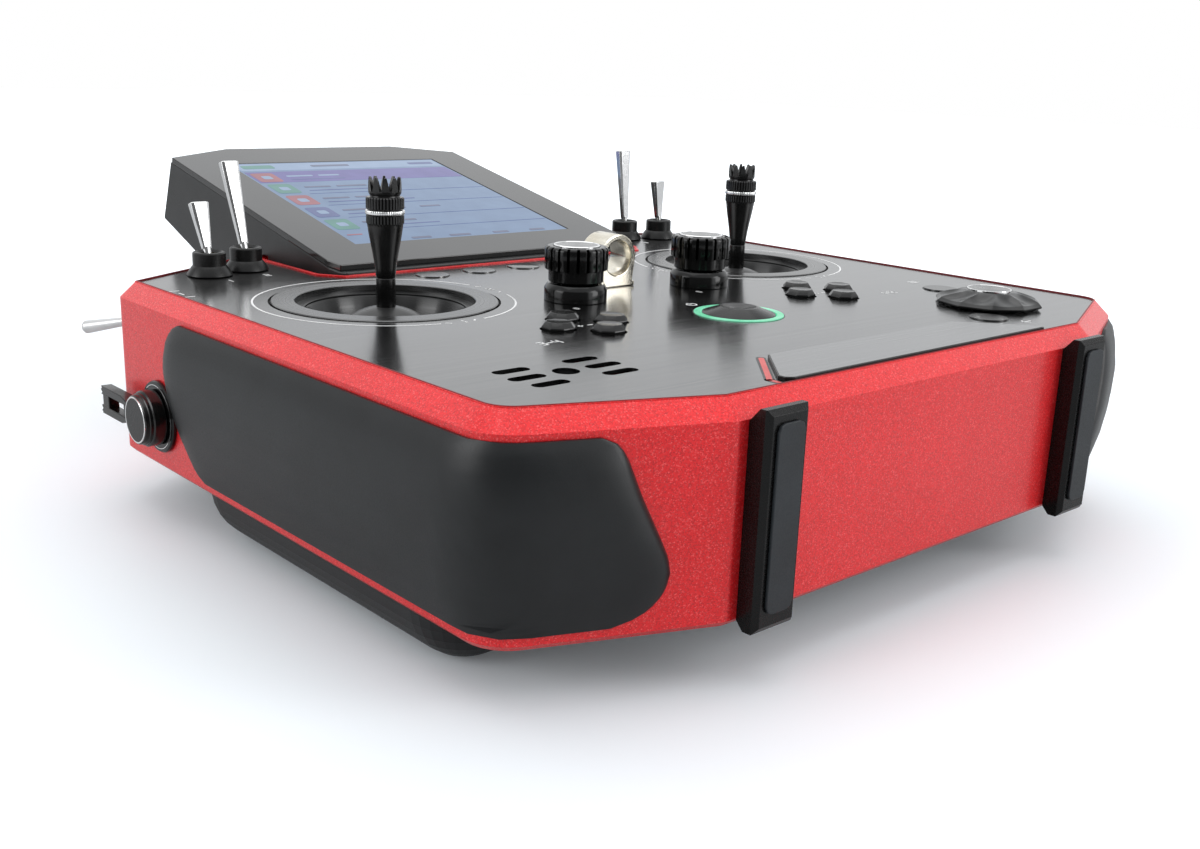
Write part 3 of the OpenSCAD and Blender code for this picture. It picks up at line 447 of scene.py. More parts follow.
RING_GLOW = make_glow("mint_light_ring", (0.09, 0.64, 0.33), (0.27, 0.84, 0.56), 0.9)
SCREEN_TONES = {
    "display_backlight": ((0.11, 0.19, 0.34), (0.13, 0.22, 0.38)),
    "screen_lavender": ((0.08, 0.07, 0.28), (0.10, 0.09, 0.33)),
    "screen_blue_line": ((0.05, 0.08, 0.24), (0.07, 0.10, 0.28)),
    "screen_green": ((0.05, 0.20, 0.18), (0.07, 0.25, 0.22)),
    "screen_red": ((0.26, 0.07, 0.10), (0.32, 0.09, 0.12)),
    "screen_grey": ((0.07, 0.09, 0.17), (0.09, 0.11, 0.21)),
    "screen_pale": ((0.20, 0.30, 0.46), (0.24, 0.34, 0.52)),
}
LCD, *SCREEN_INKS = (make_glow(name, *tones, 0.9, (0.07, 0.1), Specular_IOR_Level=0.25)
                     for name, tones in SCREEN_TONES.items())


def turned_pair(name, centre, *look, **more):
    """The same turned finish round the left and the right axis."""
    return {s: make_turned(f"{side}_{name}", (s * centre[0], centre[1]), *look, **more) for s, side in SIDES}


GIMBAL_METAL = turned_pair("gimbal_satin", GIMBAL, 0.135, 0.165, (0.22, 0.32), drawn=0.3)
GIMBAL_DARK = turned_pair("gimbal_bowl_black", GIMBAL, 0.010, 0.016, (0.26, 0.36), 0.5, drawn=0.8)
GIMBAL_CONE = turned_pair("gimbal_cone", GIMBAL, 0.045, 0.060, (0.18, 0.28), drawn=0.92)
DOME = turned_pair("dome_grey", GIMBAL, 0.024, 0.036, (0.3, 0.4), 0.3)
KNOB_DISC = turned_pair("knob_disc", KNOB, 0.22, 0.30, (0.2, 0.3))
DIAL_DISC = make_turned("dial_disc", DIAL, 0.18, 0.23, (0.22, 0.32))
POWER_TOP = make_turned("power_button_satin", (0, POWER_Y), 0.028, 0.040, (0.24, 0.34), 0.7)


# ---- CAD nodes that stay
def dress(node, finish, bevel=0.0):
    """Gives a CAD node its finish, and rounds its edges by bevel mm."""
    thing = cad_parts[node]
    thing.data.materials.clear()
    thing.data.materials.append(finish)
    weld = thing.modifiers.new("weld", "WELD")
    weld.merge_threshold = 2e-6
    if bevel:
        flat = thing.modifiers.new("flat", "DECIMATE")
        flat.decimate_type = "DISSOLVE"
        flat.angle_limit = radians(1)
        soften(thing, bevel)


dress("case_frame", RED, 0.35)
dress("face_plate", BRUSHED)
dress("back_cover", PLASTIC, 0.3)
dress("battery_cover", SATIN_PLASTIC, 0.3)
dress("stand_feet", FOOT_BLACK, 0.45)
dress("foot_pads", PAD, 0.2)
dress("display_housing", GRAPHITE, 0.4)
dress("display_bezel", GLOSS, 0.25)
dress("lcd_panel", LCD, 0.05)
dress("strap_eyelet", WARM, 0.5)
dress("control_board", BOARD)
dress("power_ring", RING_GLOW, 0.12)
dress("speaker", HOLE)
dress("main_board", BOARD)
dress("battery_pack", WRAP, 0.8)
dress("case_screws", STEEL)
for s, name in SIDES:
    dress(f"{name}_palm_grip", RUBBER)
    dress(f"{name}_yoke", STEEL)
    dress(f"{name}_stick", DOME[s])
for i in range(1, 6):
    dress(f"function_button_{i}", CAP_METAL, 0.1)
dress("menu_button", TRIM_BLACK, 0.1)
dress("escape_button", TRIM_BLACK, 0.1)
dress("power_button", POWER_TOP, 0.15)


# ---- gimbals
# Profiles are (radius, height) pairs about the control's own axis.
GIMBAL_STEPS = 128
GIMBAL_RING = [(25.4, -2.9), (25.4, 0.15), (25.6, 0.35), (31.75, 0.35), (32, 0.1), (32, -2), (31, -2.9)]
FLANGE = [(25.4, -3.4), (25.4, -2.85), (31, -2.85), (32, -2.02), (34.5, -2.02), (34.5, -3.4)]
LEDGE_R = 22.7  # where the flat ledge inside the ring ends and the cone begins
LEDGE = [(LEDGE_R, -3.6), (LEDGE_R, -2.05), (LEDGE_R + 0.15, -1.9), (25.45, -1.7), (25.45, -3.6)]
CONE = [(LEDGE_R, -3.3), (LEDGE_R, -2.5), (22.3, -3), (21.2, -5.6), (19.9, -8.2), (18.7, -9.7),
        (17.95, -10.2), (17.75, -10.7), (17.9, -11.2), (19.2, -11.2), (21.4, -10), (23.4, -7), (24.6, -3.3)]
CHEEK_HALF, CHEEK_T, CHEEK_TOP = 6, 3.6, 3  # the two plates that carry the yoke's pins
CHEEK_X = 26.4


def gimbal_parts():
    low, top, half = -PIVOT_D - 5, -CHEEK_TOP, CHEEK_HALF
    cheek = rounded([(-half, low), (half, low), (half, top), (-half, top)], 2)
    for s, name in SIDES:
        at = side_matrix(s) @ shift(*GIMBAL)
        ring = Shape().add(lathe(GIMBAL_RING, GIMBAL_STEPS, wrap=True), at)
        piece(f"{name}_gimbal_ring", ring, [GIMBAL_METAL[s]])
        bowl = Shape()
        bowl.add(lathe(FLANGE, GIMBAL_STEPS, wrap=True), at)
        bowl.add(lathe(LEDGE, GIMBAL_STEPS, wrap=True), at)
        bowl.add(lathe(CONE, GIMBAL_STEPS, wrap=True), at, 1)
        for angle in (0, 180):
            upright = at @ turn("Z", angle) @ shift(CHEEK_X, 0) @ turn("Z", 90) @ turn("X", 90)
            bowl.add(prism(cheek, -CHEEK_T, 0, 0.3), upright)
        piece(f"{name}_gimbal_bowl", bowl, [GIMBAL_DARK[s], GIMBAL_CONE[s]],
              replaces=[f"{name}_gimbal_frame"])


gimbal_parts()


# ---- stick grips
STICK_STEPS = 144
# the shaft, the flared foot of the grip, its lower knurled band, a neck, its upper band and the crown's seat
STICK = [(0, -1.9), (2.6, -1.9), (2.75, -1.6), (2.75, 6.3), (2.62, 6.5), (2.8, 7.2), (3.02, 9.2),
         (3.32, 11.5), (3.72, 13.9), (4.19, 16.4), (4.62, 18.8), (4.98, 21.2), (5.05, 21.7), (5.3, 22),
         (5.3, 24.1), (5.05, 24.35), (4.9, 25.65), (5.05, 25.8), (5.35, 26.1), (5.35, 28.9), (5, 29.2),
         (4.2, 29.3), (4.15, 29.6), (4.55, 30.3), (4.62, 30.7), (3, 30.8), (2.6, 29.6), (0, 29.6)]
GRIP_BANDS = [(21.95, 24.2), (26, 28.95)]  # heights between which the grip is knurled
LOCK_RING = [(4.7, 24.5), (5.45, 24.5), (5.5, 24.6), (5.5, 25.4), (5.45, 25.5), (4.7, 25.5)]
LOCK_RING_BAND = [(24.3, 25.7)]
SPIKES = 10
SPIKE_TURN = 12  # degrees from the stick's side to its first spike
# height, inner radius, outer radius, and the share of a spike's pitch that it fills
SPIKE_LEVELS = [(30.2, 2.9, 4.55, 0.9), (31.4, 3, 4.62, 0.74), (33.2, 3.5, 4.6, 0.46),
                (34.6, 3.95, 4.5, 0.22)]


def knurl(count, depth, bands):
    """A radius function that cuts count V grooves in the height bands."""
    def radius(a, r, z):
        if not any(low <= z <= high for low, high in bands):
            return r
        phase = a * count / tau % 1
        return r - depth * abs(2 * phase - 1) ** 3
    return radius


def spike():
    """One pointed tooth of the crown, about the X axis."""
    rows = []
    for z, near, far, share in SPIKE_LEVELS:
        half = pi / SPIKES * share
        corners = ((near, -half), (far, -half), (far, half), (near, half))
        rows.append([(r * cos(a), r * sin(a), z) for r, a in corners])
    return loft(rows)


def stick_parts():
    for s, name in SIDES:
        at = side_matrix(s) @ shift(*GIMBAL)
        grip = Shape().add(lathe(STICK, STICK_STEPS, radius=knurl(36, 0.45, GRIP_BANDS)), at)
        for i in range(SPIKES):
            grip.add(spike(), at @ turn("Z", SPIKE_TURN + 360 * i / SPIKES))
        piece(f"{name}_stick_crown_grip", grip, [ANODISED], f"{name}_stick",
              [f"{name}_stick_grip"])
        lock = Shape().add(lathe(LOCK_RING, STICK_STEPS, True, knurl(48, 0.12, LOCK_RING_BAND)), at)
        piece(f"{name}_silver_lock_ring", lock, [CHROME], f"{name}_stick",
              [f"{name}_lock_ring"])


stick_parts()


# ---- knobs and their collars
FLUTES = 20
FLUTE_DEPTH = 1.15
FLUTE_SHARE = 0.2  # of the pitch from one flute to the next
FLUTE_STOPS = (0.0, 0.07, 0.17, 0.24, 0.42, 0.62, 0.82, 0.93)  # where a pitch has its points
KNOB_ANGLES = [tau * (i + stop) / FLUTES for i in range(FLUTES) for stop in FLUTE_STOPS]
RIB_FALL = 0.12  # how far a rib falls away from its middle to its edges
FLUTED_R, FLUTED_LOW = 8.9, 9  # the knob is fluted outside this radius and above this height
KNOB_CAP = [(0, -6), (2, -6), (2, 5.4), (7.5, 5.4), (7.9, 5.6), (8.1, 5.9), (8.1, 9), (8.8, 9.1),
            (9.2, 9.3), (9.3, 9.6), (9.3, 14.9), (9.2, 15.3), (8.9, 15.65), (8.4, 15.85), (7.1, 15.95),
            (6.95, 15.9), (6.95, 15.6), (0, 15.6)]
DISC_RIM = [(6.2, 15.5), (6.8, 15.5), (6.8, 16.15), (6.6, 16.35), (6.35, 16.35), (6.2, 16.2)]
DISC = [(0, 15.5), (6.25, 15.5), (6.25, 16.2), (0, 16.28)]
COLLAR = [(2.05, 0.02), (9.1, 0.02), (9.25, 0.2), (9.25, 3.6), (9.15, 3.8), (8.45, 4.95), (8.25, 5.08),
          (2.05, 5.08)]
COLLAR_BUSH = [(2.05, -8), (2.95, -8), (2.95, 0.1), (2.05, 0.1)]
LEVER_COLLAR = [(2.1, -12), (5.9, -12), (5.9, 0), (10.2, 0), (10.5, 0.25), (10.5, 0.9), (10.2, 1.3),
                (9.3, 1.4), (2.1, 1.4)]
LEVER_COLLAR_LINE = [(9.2, 1.3), (9.4, 1.3), (9.4, 1.48), (9.2, 1.48)]


def fluted(a, r, z):
    """The knob's radius at an angle: square flutes, with slightly rounded ribs between them."""
    if r < FLUTED_R or z < FLUTED_LOW:
        return r
    t = a * FLUTES / tau % 1
    groove = FLUTE_DEPTH if t < FLUTE_SHARE else 0.0
    return r - groove - RIB_FALL * abs(2 * (t - FLUTE_SHARE) / (1 - FLUTE_SHARE) - 1) ** 4


def knob_parts():
    collars = Shape()
    for s, name in SIDES:
        at = side_matrix(s) @ shift(*KNOB)
        cap = Shape().add(lathe(KNOB_CAP, KNOB_ANGLES, radius=fluted), at)
        piece(f"{name}_knob_cap", cap, [KNOB_BLACK], f"{name}_knob", [f"{name}_knob"])
        disc = Shape()
        disc.add(lathe(DISC_RIM, 64, True), at, 1)
        disc.add(lathe(DISC, 64), at)
        piece(f"{name}_knob_disc_top", disc, [KNOB_DISC[s], CHROME], f"{name}_knob")
        collars.add(lathe(COLLAR, 64, True), at)
        collars.add(lathe(COLLAR_BUSH, 32, True), at)
        collars.add(lathe(LEVER_COLLAR, 72, True), lever_matrix(s))
        collars.add(lathe(LEVER_COLLAR_LINE, 72, True), lever_matrix(s), 1)
    piece("control_collar_set", collars, [KNOB_BLACK, CHROME],
          replaces=["control_collars"])


knob_parts()


# ---- toggles
# A boot's radius at its foot, its neck's radius and its height; a switch body's lowest and highest x, y, z
BOOT, REAR_BOOT = (6.9, 5, 7.4), (5.6, 4.6, 4.0)
SWITCH, REAR_SWITCH = (-5, 5, -4, 4, -11.5, -2.1), (-3, 3, -4, 4, -14, -3.5)
SWITCH_CHAMFER = 0.3
REAR_LEVER = [(0, -0.9), (1.3, -0.9), (1.3, 2), (1.35, 3), (2.05, 17.4), (2, 17.9), (1.7, 18.3), (0, 18.4)]
REAR_LEAN = 12  # degrees
BAT_PIN = [(0, -2), (1.5, -1.8), (1.5, 0.6), (1.25, 1), (1.25, 5.2), (0, 5.3)]
BAT_ROOT, BAT_TIP = (2.7, 1.9), (5.8, 3.2)  # width and thickness
BAT_START = 4.6  # height above the pivot


def boot(r, neck, h):
    """A boot h high on a foot of radius r, hollow round its bush, with a stem under it."""
    profile = [(r - 0.5, 0.02), (r, 0.35), (r - 0.15, 0.7), (neck + 0.75, 2.3), (neck + 0.3, 2.9),
               (neck, 3.2), (neck, h - 0.5), (neck - 0.35, h - 0.1), (neck - 0.9, h), (3.35, h - 0.7),
               (3.25, 0.5), (0, 0.4), (0, -4), (2.95, -4), (2.95, 0.02)]
    return lathe(profile, 56)


def bush(h):
    """The threaded metal bush in a boot that is h high."""
    return lathe([(3.25, 0.8), (3.9, 0.8), (3.9, h - 1.0), (3.65, h - 0.75), (3.25, h - 0.9)], 40, True)


def bat(length):
    """A flat lever that widens to its tip, with chamfered edges, standing on its pivot."""
    def section(z, size, c):
        w, t = size[0] / 2, size[1] / 2
        return [(-w + c, -t, z), (w - c, -t, z), (w, -t + c * 0.6, z), (w, t - c * 0.6, z), (w - c, t, z),
                (-w + c, t, z), (-w, t - c * 0.6, z), (-w, -t + c * 0.6, z)]
    end = [k - 0.5 for k in BAT_TIP]
    return loft([section(BAT_START, BAT_ROOT, 0.5), section(length - 0.25, BAT_TIP, 0.9),
                 section(length, end, 0.8)])


def toggle_parts():
    boots = Shape()
    levers = []
    for s, name in SIDES:
        lean = LEFT_THROW if s == LEFT else RIGHT_THROW
        for kind, spot, height in (("short", SHORT, SHORT_H), ("long", LONG, LONG_H)):
            at = side_matrix(s) @ shift(*spot)
            boots.add(boot(*BOOT), at)
            boots.add(bush(BOOT[2]), at, 1)
            boots.add(box(*SWITCH, SWITCH_CHAMFER), at)
            levers.append((f"{name}_{kind}", at, height, lean))
        shoulder = shoulder_matrix(s)
        boots.add(boot(*REAR_BOOT), shoulder)
        boots.add(box(*REAR_SWITCH, SWITCH_CHAMFER), shoulder)
        pivot = shoulder @ shift(0, 0, TOGGLE_PIVOT) @ turn("Y", REAR_LEAN)
        rear = Shape().add(lathe(REAR_LEVER, 36), pivot)
        piece(f"{name}_rear_lever", rear, [LIGHT_METAL], f"{name}_rear_toggle",
              [f"{name}_rear_toggle"])
    piece("toggle_boot_set", boots, [SATIN_PLASTIC, BRASS], replaces=["toggle_bodies"])
    for name, spot, height, lean in levers:
        at = spot @ shift(0, 0, TOGGLE_PIVOT) @ turn("X", -lean)
        lever = Shape().add(lathe(BAT_PIN, 28), at)
        lever.add(bat(height - TOGGLE_PIVOT), at)
        piece(f"{name}_bat", lever, [BAT_CHROME], f"{name}_toggle", [f"{name}_toggle"],
              smooth=20, bevel=0.08)


toggle_parts()


# ---- side levers
HUB = [(0, -11), (1.98, -11), (1.98, 1.7), (7.7, 1.7), (8.1, 1.95), (8.1, 5.1), (7.8, 5.4), (7.5, 5.5),
       (7.5, 6.2), (7.2, 6.4), (7.1, 7.4), (6.9, 7.55), (0, 7.55)]
HUB_RIM = [(6.3, 7.4), (6.75, 7.4), (6.75, 7.75), (6.6, 7.85), (6.3, 7.8)]
HUB_CAP = [(0, 7.4), (6.35, 7.4), (6.35, 7.7), (6.2, 7.8), (0, 7.82)]
ARM_IN, ARM_OUT = 1.8, 4.2  # an arm's inner and outer side, from the lever's middle line
# Bars that join the arms at the hub and before the tips: lowest and highest x, y, z
BRIDGES = ((-2.2, 2.2, 6, 11.6, 3.1, 6.3), (-2.2, 2.2, 22.6, 26.9, 3.1, 6.3))


def arm(way):
    """The outline of the arm on the side -1 or 1: a straight bar with a notched tip."""
    near, far = way * ARM_IN, way * ARM_OUT
    notches = [(near - way * 0.2, 28.0), (near + way * 0.7, 27.0), (near + way * 1.4, 28.0),
               (near + way * 2.0, 27.2)]
    outline = [(near, 11), (near, 23), *notches, (far, 27.9), (far, 13.2), (way * 3.2, 9.5), (way * 2.9, 6)]
    return outline[::-1] if way > 0 else outline


def lever_parts():
    for s, name in SIDES:
        at = lever_matrix(s)
        hub = Shape().add(lathe(HUB, 72), at)
        for way in (-1, 1):
            hub.add(prism(arm(way), 2.9, 6.5, 0.25), at)
        for bridge in BRIDGES:
            hub.add(box(*bridge, 0.2), at)
        hub.add(lathe(HUB_RIM, 72, True), at, 1)
        hub.add(lathe(HUB_CAP, 72), at, 2)
        piece(f"{name}_lever_paddle", hub, [ANODISED, CHROME, SATIN_PLASTIC], f"{name}_side_lever",
              [f"{name}_side_lever"])


lever_parts()


# ---- trims and dial
TRIM_CAP = [(0, -2.4), (4.5, -2.4), (4.5, 0.25), (4.7, 0.5), (4.6, 0.85), (3.65, 2.05), (3.45, 2.2),
            (3.1, 2.1), (0, 1.95)]
TRIM_WAYS = (("out", 0), ("up", 90), ("in", 180), ("down", 270))


def trim_parts():
    for s, side in SIDES:
        for name, angle in TRIM_WAYS:
            at = side_matrix(s) @ shift(*TRIM) @ turn("Z", angle) @ shift(TRIM_D, 0)
            cap = Shape().add(lathe(TRIM_CAP, 8), at @ turn("Z", 22.5))
            node = f"{side}_trim_{name}"
            piece(f"{node}_cap", cap, [TRIM_BLACK], node, [node], smooth=15, bevel=0.14)


trim_parts()

PETALS = 10
PETAL_STEPS = 14
SLOPE_RINGS = 8
SLOPE_R, SLOPE_IN = 16.0, 8.4  # radius at the slope's foot, and how far it runs in
SLOPE_LOW, SLOPE_RISE, SLOPE_CROWN = 1.25, 3.1, 0.55  # height at the foot, rise, and power of its curve
DIAL_SWIRL = 0.16  # radians that the petals turn from the rim to the cap
# Rings of the dial: radius, height, how deep a scallop is cut inward, how deep it is dished, and its turn
DIAL_RIM = [(3, -1.6, 0, 0, 0), (3, 0.35, 0, 0, 0), (15.4, 0.35, 0.7, 0, 0), (16.1, 0.75, 0.95, 0, 0),
            (16.1, 1.15, 0.95, 0.05, 0)]
DIAL_SEAT = [(7.2, 4.5, 0, 0, DIAL_SWIRL), (6.9, 4.4, 0, 0, DIAL_SWIRL), (0.01, 4.4, 0, 0, DIAL_SWIRL)]
DIAL_CAP_RIM = [(6.25, 4.3), (6.6, 4.3), (6.6, 4.95), (6.5, 5.1), (6.35, 5.1), (6.25, 5)]
DIAL_CAP = [(0, 4.3), (6.3, 4.3), (6.3, 5), (0, 5.06)]


def dial_slope():
    """The rings of the domed slope, whose petals run out towards the cap."""
    for k in range(1, SLOPE_RINGS + 1):
        f = k / SLOPE_RINGS
        dish = 0.85 * sin(pi * min(1, f * 1.05)) ** 0.8 if f < 0.95 else 0.0
        height = SLOPE_LOW + SLOPE_RISE * f ** SLOPE_CROWN
        yield SLOPE_R - f * SLOPE_IN, height, 0.9 * (1 - f), dish, DIAL_SWIRL * f


def dial_ring(r, z, scallop, dish, swirl):
    """One ring of points, with a hollow in the middle of each petal."""
    row = []
    for i in range(PETALS * PETAL_STEPS):
        a = tau * i / (PETALS * PETAL_STEPS)
        t = a * PETALS / tau % 1
        hollow = 4 * t * (1 - t)
        k = r - scallop * hollow
        b = a + swirl
        row.append((k * cos(b), k * sin(b), z - dish * hollow))
    return row


def dial_parts():
    at = shift(*DIAL)
    rings = [dial_ring(*row) for row in (*DIAL_RIM, *dial_slope(), *DIAL_SEAT)]
    wheel = Shape().add(loft(rings), at)
    piece("dial_wheel", wheel, [ANODISED], "dial", ["dial"], smooth=11)
    cap = Shape()
    cap.add(lathe(DIAL_CAP_RIM, 64, True), at, 1)
    cap.add(lathe(DIAL_CAP, 64), at)
    piece("dial_cap", cap, [DIAL_DISC, CHROME], "dial")


dial_parts()


# ---- rubber side grips
# The right grip's outline, from the top down: height, y of its rear end, x of its front end
GRIP_EDGE = [(-5.8, 155, 103), (-6.4, 157.4, 100.8), (-8, 159.8, 99), (-11, 162.2, 97.4),
             (-15, 163.4, 95.9), (-19, 163.6, 94.4), (-24, 162.2, 92.2), (-29, 160.4, 90),
             (-33, 158.3, 88.4), (-36.6, 155.9, 87.8), (-40.2, 153, 88.6), (-43, 150.6, 90.4),
             (-45.2, 148.6, 93), (-47, 145.5, 96.6), (-47.8, 142.5, 100)]
GRIP_THICK = [(-5.8, 0.8), (-8, 2), (-12, 3.2), (-16, 3.8), (-20, 4.1), (-28, 4.1), (-35, 3.4), (-42, 2.4),
              (-46, 1.4), (-47.8, 0.8)]
GRIP_EDGE_T = 0.8  # how far the grip's edge stands off the wall
GRIP_SWELL_W = 11.0  # from an end of the grip to its full thickness
GRIP_SUNK = 0.05  # how far its back lies in the wall
GRIP_ROWS = 30
# shares of the way from the front end to the rear end, closest together at the two ends
GRIP_COLUMNS = ([0, 0.004, 0.012, 0.025, 0.04, 0.06] + [0.06 + 0.24 * k / 8 for k in range(1, 9)]
                + [0.30 + 0.62 * k / 20 for k in range(1, 21)] + [0.94, 0.96, 0.975, 0.988, 0.996, 1])


def along(table, x, column=1):
    """Reads a table of numbers, falling in its first column, by straight lines between its rows."""
    for a, b in zip(table, table[1:]):
        if b[0] <= x <= a[0]:
            return a[column] + (b[column] - a[column]) * (x - a[0]) / (b[0] - a[0])
    return table[-1][column] if x < table[-1][0] else table[0][column]


def wall_path():
    """The face's right outline, along the front diagonal and round the corner to the side.

    Returns a function from the way along it to the point and outward normal there, the way at a given x
    or y of the wall, and where the rounding starts and ends.
    """
    (x1, y1), (x2, y2) = FACE[1], FACE[2]
    length = hypot(x2 - x1, y2 - y1)
    u = ((x2 - x1) / length, (y2 - y1) / length)
    n = (u[1], -u[0])
    bend = acos(n[0])
    cut = NOSE_R * tan(bend / 2)
    centre = (x2 - NOSE_R, y2 + cut)

    def at(s):
        if s < length - cut:
            return (x1 + u[0] * s, y1 + u[1] * s), n
        s -= length - cut
        if s < NOSE_R * bend:
            a = -bend + s / NOSE_R
            out = (cos(a), sin(a))
            return (centre[0] + NOSE_R * out[0], centre[1] + NOSE_R * out[1]), out
        return (x2, y2 + cut + s - NOSE_R * bend), (1.0, 0.0)

    def from_x(x):
        return (x - x1 - n[0] * BEVEL_W) / u[0]

    def from_y(y):
        return length - cut + NOSE_R * bend + y - y2 - cut

    corner = (length - cut, length - cut + NOSE_R * bend)
    return at, from_x, from_y, corner


def grip_rows():
    """The grip's outer and inner points, one row for each height."""
    at, from_x, from_y, _ = wall_path()
    top, low = GRIP_EDGE[0][0], GRIP_EDGE[-1][0]
    rows_out, rows_in = [], []
    for z in (top + (low - top) * k / GRIP_ROWS for k in range(GRIP_ROWS + 1)):
        front, rear = from_x(along(GRIP_EDGE, z, 2)), from_y(along(GRIP_EDGE, z, 1))
        thick = along(GRIP_THICK, z)
        outer, inner = [], []
        for share in GRIP_COLUMNS:
            s = front + (rear - front) * share
            (px, py), (nx, ny) = at(s)
            ease = min(1.0, min(s - front, rear - s) / GRIP_SWELL_W)
            swell = max(0.0, thick - GRIP_EDGE_T) * sqrt(max(0.0, 1 - (1 - ease) ** 2.4))
            d = BEVEL_W + (GRIP_EDGE_T + swell)
            outer.append((px + nx * d, py + ny * d, z))
            d = BEVEL_W - GRIP_SUNK
            inner.append((px + nx * d, py + ny * d, z))
        rows_out.append(outer)
        rows_in.append(inner)
    return rows_out, rows_in


def side_grips():
    rows_out, rows_in = grip_rows()
    n, m = len(rows_out), len(GRIP_COLUMNS)
    points = [p for row in rows_out + rows_in for p in row]
    faces = []
    for i in range(n - 1):
        for j in range(m - 1):
            a = i * m + j
            faces.append([a, a + 1, a + m + 1, a + m])
            faces.append([a + n * m + m, a + n * m + m + 1, a + n * m + 1, a + n * m])
    rim = list(range(m))
    rim += [i * m + m - 1 for i in range(1, n)]
    rim += [(n - 1) * m + j for j in range(m - 2, -1, -1)]
    rim += [i * m for i in range(n - 2, 0, -1)]
    for a, b in zip(rim, rim[1:] + rim[:1]):
        faces.append([a, b, b + n * m, a + n * m])
    for s, name in SIDES:
        grip = Shape().add((points, faces), side_matrix(s))
        piece(f"{name}_rubber_grip", grip, [RUBBER], replaces=[f"{name}_side_grip"],
              smooth=50)


side_grips()


# ---- raised line of the frame round the plate
# Distances in from the face's outline, and height: the red lip, and the dark red line inside it, which is
# painted shade of the frame's inner edge
LIP_BANDS = ((0.15, 0.5, 0.3), (0.45, 0.8, 0.42))
LIP_LOW = -0.2


def frame_lip():
    at, _, _, (first, last) = wall_path()
    half = [FACE[1]] + [at(first + (last - first) * k / 10)[0] for k in range(11)] + FACE[3:5]
    outline = half + [(-x, y) for x, y in reversed(half)]
    lip = Shape()
    for mark, (outer, inner, high) in enumerate(LIP_BANDS):
        walls = zip(inset(outline, outer), inset(outline, inner))
        sections = [[(*a, LIP_LOW), (*a, high), (*b, high), (*b, LIP_LOW)] for a, b in walls]
        lip.add(loft(sections, wrap=True), mark=mark)
    piece("frame_lip", lip, [RED, PAINTED_SHADE_RED], smooth=20)


frame_lip()


# ---- plaque, print and painted gap shade on the plate
# The plaque's outline: its left end is cut back for the red inlay
PLAQUE_EDGE = [(-50.6, 0.95), (56, 0.95), (57, 2.2), (40, 20.4), (-37.6, 20.4), (-52.6, 4.4), (-52.6, 2.4)]
INK_T, LINE_T = 0.05, 0.03  # thickness of the white and red print, and of the black lines
SCALE_R, SCALE_W = 36.9, 0.55  # the white circle round a gimbal
# its two arcs, from and to in degrees and in how many steps: it is broken at the front and on the inner side
SCALE_ARCS = {LEFT: ((-78, -16, 48), (14, 260, 120)), RIGHT: ((196, 258, 48), (-80, 166, 120))}
INNER_SIDE = {LEFT: 0, RIGHT: 180}  # degrees from the gimbal towards the centre line
# Figures beside the controls: what they say, their middle, their height and the width of a stroke
FIGURE_W = 0.42
SCALE_FIGURE_H, TOGGLE_FIGURE_H = 2.6, 2.8
TOGGLE_FIGURES = {LEFT: "12", RIGHT: "43"}
TOGGLE_FIGURES_AT = ((96.4, 183.4), (81.4, 187.9))
FIGURES = (("3-4", -71, 62.3, 3.0), ("1-2", 69, 62.9, 3.0), ("0", -35.0, 94.0, 1.8, 0.35),
           ("0", 16.6, 95.7, 1.8, 0.35))
# The strokes that make a figure, on a grid one wide and two high
STROKES = [((0, 2), (1, 2)), ((1, 2), (1, 1)), ((1, 1), (1, 0)), ((0, 0), (1, 0)), ((0, 1), (0, 0)),
           ((0, 2), (0, 1)), ((0, 1), (1, 1))]
DIGITS = {"0": "012345", "1": "12", "2": "01643", "3": "01623", "4": "5612", "-": "6"}
# Generic marks. A stroke is x, y, length, width and angle in degrees, and the power mark's arc is x, y,
# radius, width, from and to in degrees, and in how many steps.
EDGE_MARKS = ((-117.6, 174.9, 3.4, 0.45), (-117.6, 169.7, 3.4, 0.45, 90), (-117.6, 164.5, 3.4, 0.45))
POWER_ARC, POWER_STROKE = (-1.5, 81.2, 1.5, 0.45, -240, 60, 24), (-1.5, 82.3, 2.2, 0.45, 90)
MENU_STROKES = [(95, 71.4 + 1.1 * k, 3.6, 0.42) for k in (-1, 0, 1)]
ARROW_HEAD, ARROW_SHAFT = [(63.6, 12.2), (62.0, 10.8), (63.6, 9.4)], (64.0, 10.8, 3.8, 0.42)
SIGN_D, SIGN_L, SIGN_W = 1.7, 1.9, 0.45  # a plus and a minus either side of a trim cross's middle
TICK_L, TICK_W, TICK_SLANT = 1.9, 0.5, 40  # slanted strokes at the breaks of the white circle
# The black band along SLIT is painted shade of the slit's walls, beside the red inlay that shows through it.
SLIT = [(-39.2, 21.2), (-54.7, 4.9), (-54.7, 2.4)]  # the black line round the inlay beside the plaque
INLAY = [(-39.4, 20.9), *SLIT[1:]]
SLIT_W, INLAY_W = 2.5, 1.4
GAP_W = 0.34
FLAT_BUTTONS = [(FUNCTION_STEP * i, FUNCTION_Y) for i in range(-2, 3)] + [MENU, ESCAPE]


def plaque():
    made = Shape().add(prism(PLAQUE_EDGE, 0.0, 0.85, 0.08))
    made.add(prism(inset(PLAQUE_EDGE, 0.35), 0.7, 1.0, 0.06), mark=1)
    piece("front_plaque_plate", made, [SATIN_PLASTIC, PLAQUE],
          replaces=["front_plaque"])


plaque()


def arc_band(cx, cy, r, width, a0, a1, steps=48):
    """Outline of a line that runs round (cx, cy) from the angle a0 to a1."""
    inner, outer = r - width / 2, r + width / 2
    span = [radians(a0 + (a1 - a0) * k / steps) for k in range(steps + 1)]
    ring = [(cx + outer * cos(a), cy + outer * sin(a)) for a in span]
    ring += [(cx + inner * cos(a), cy + inner * sin(a)) for a in reversed(span)]
    return ring


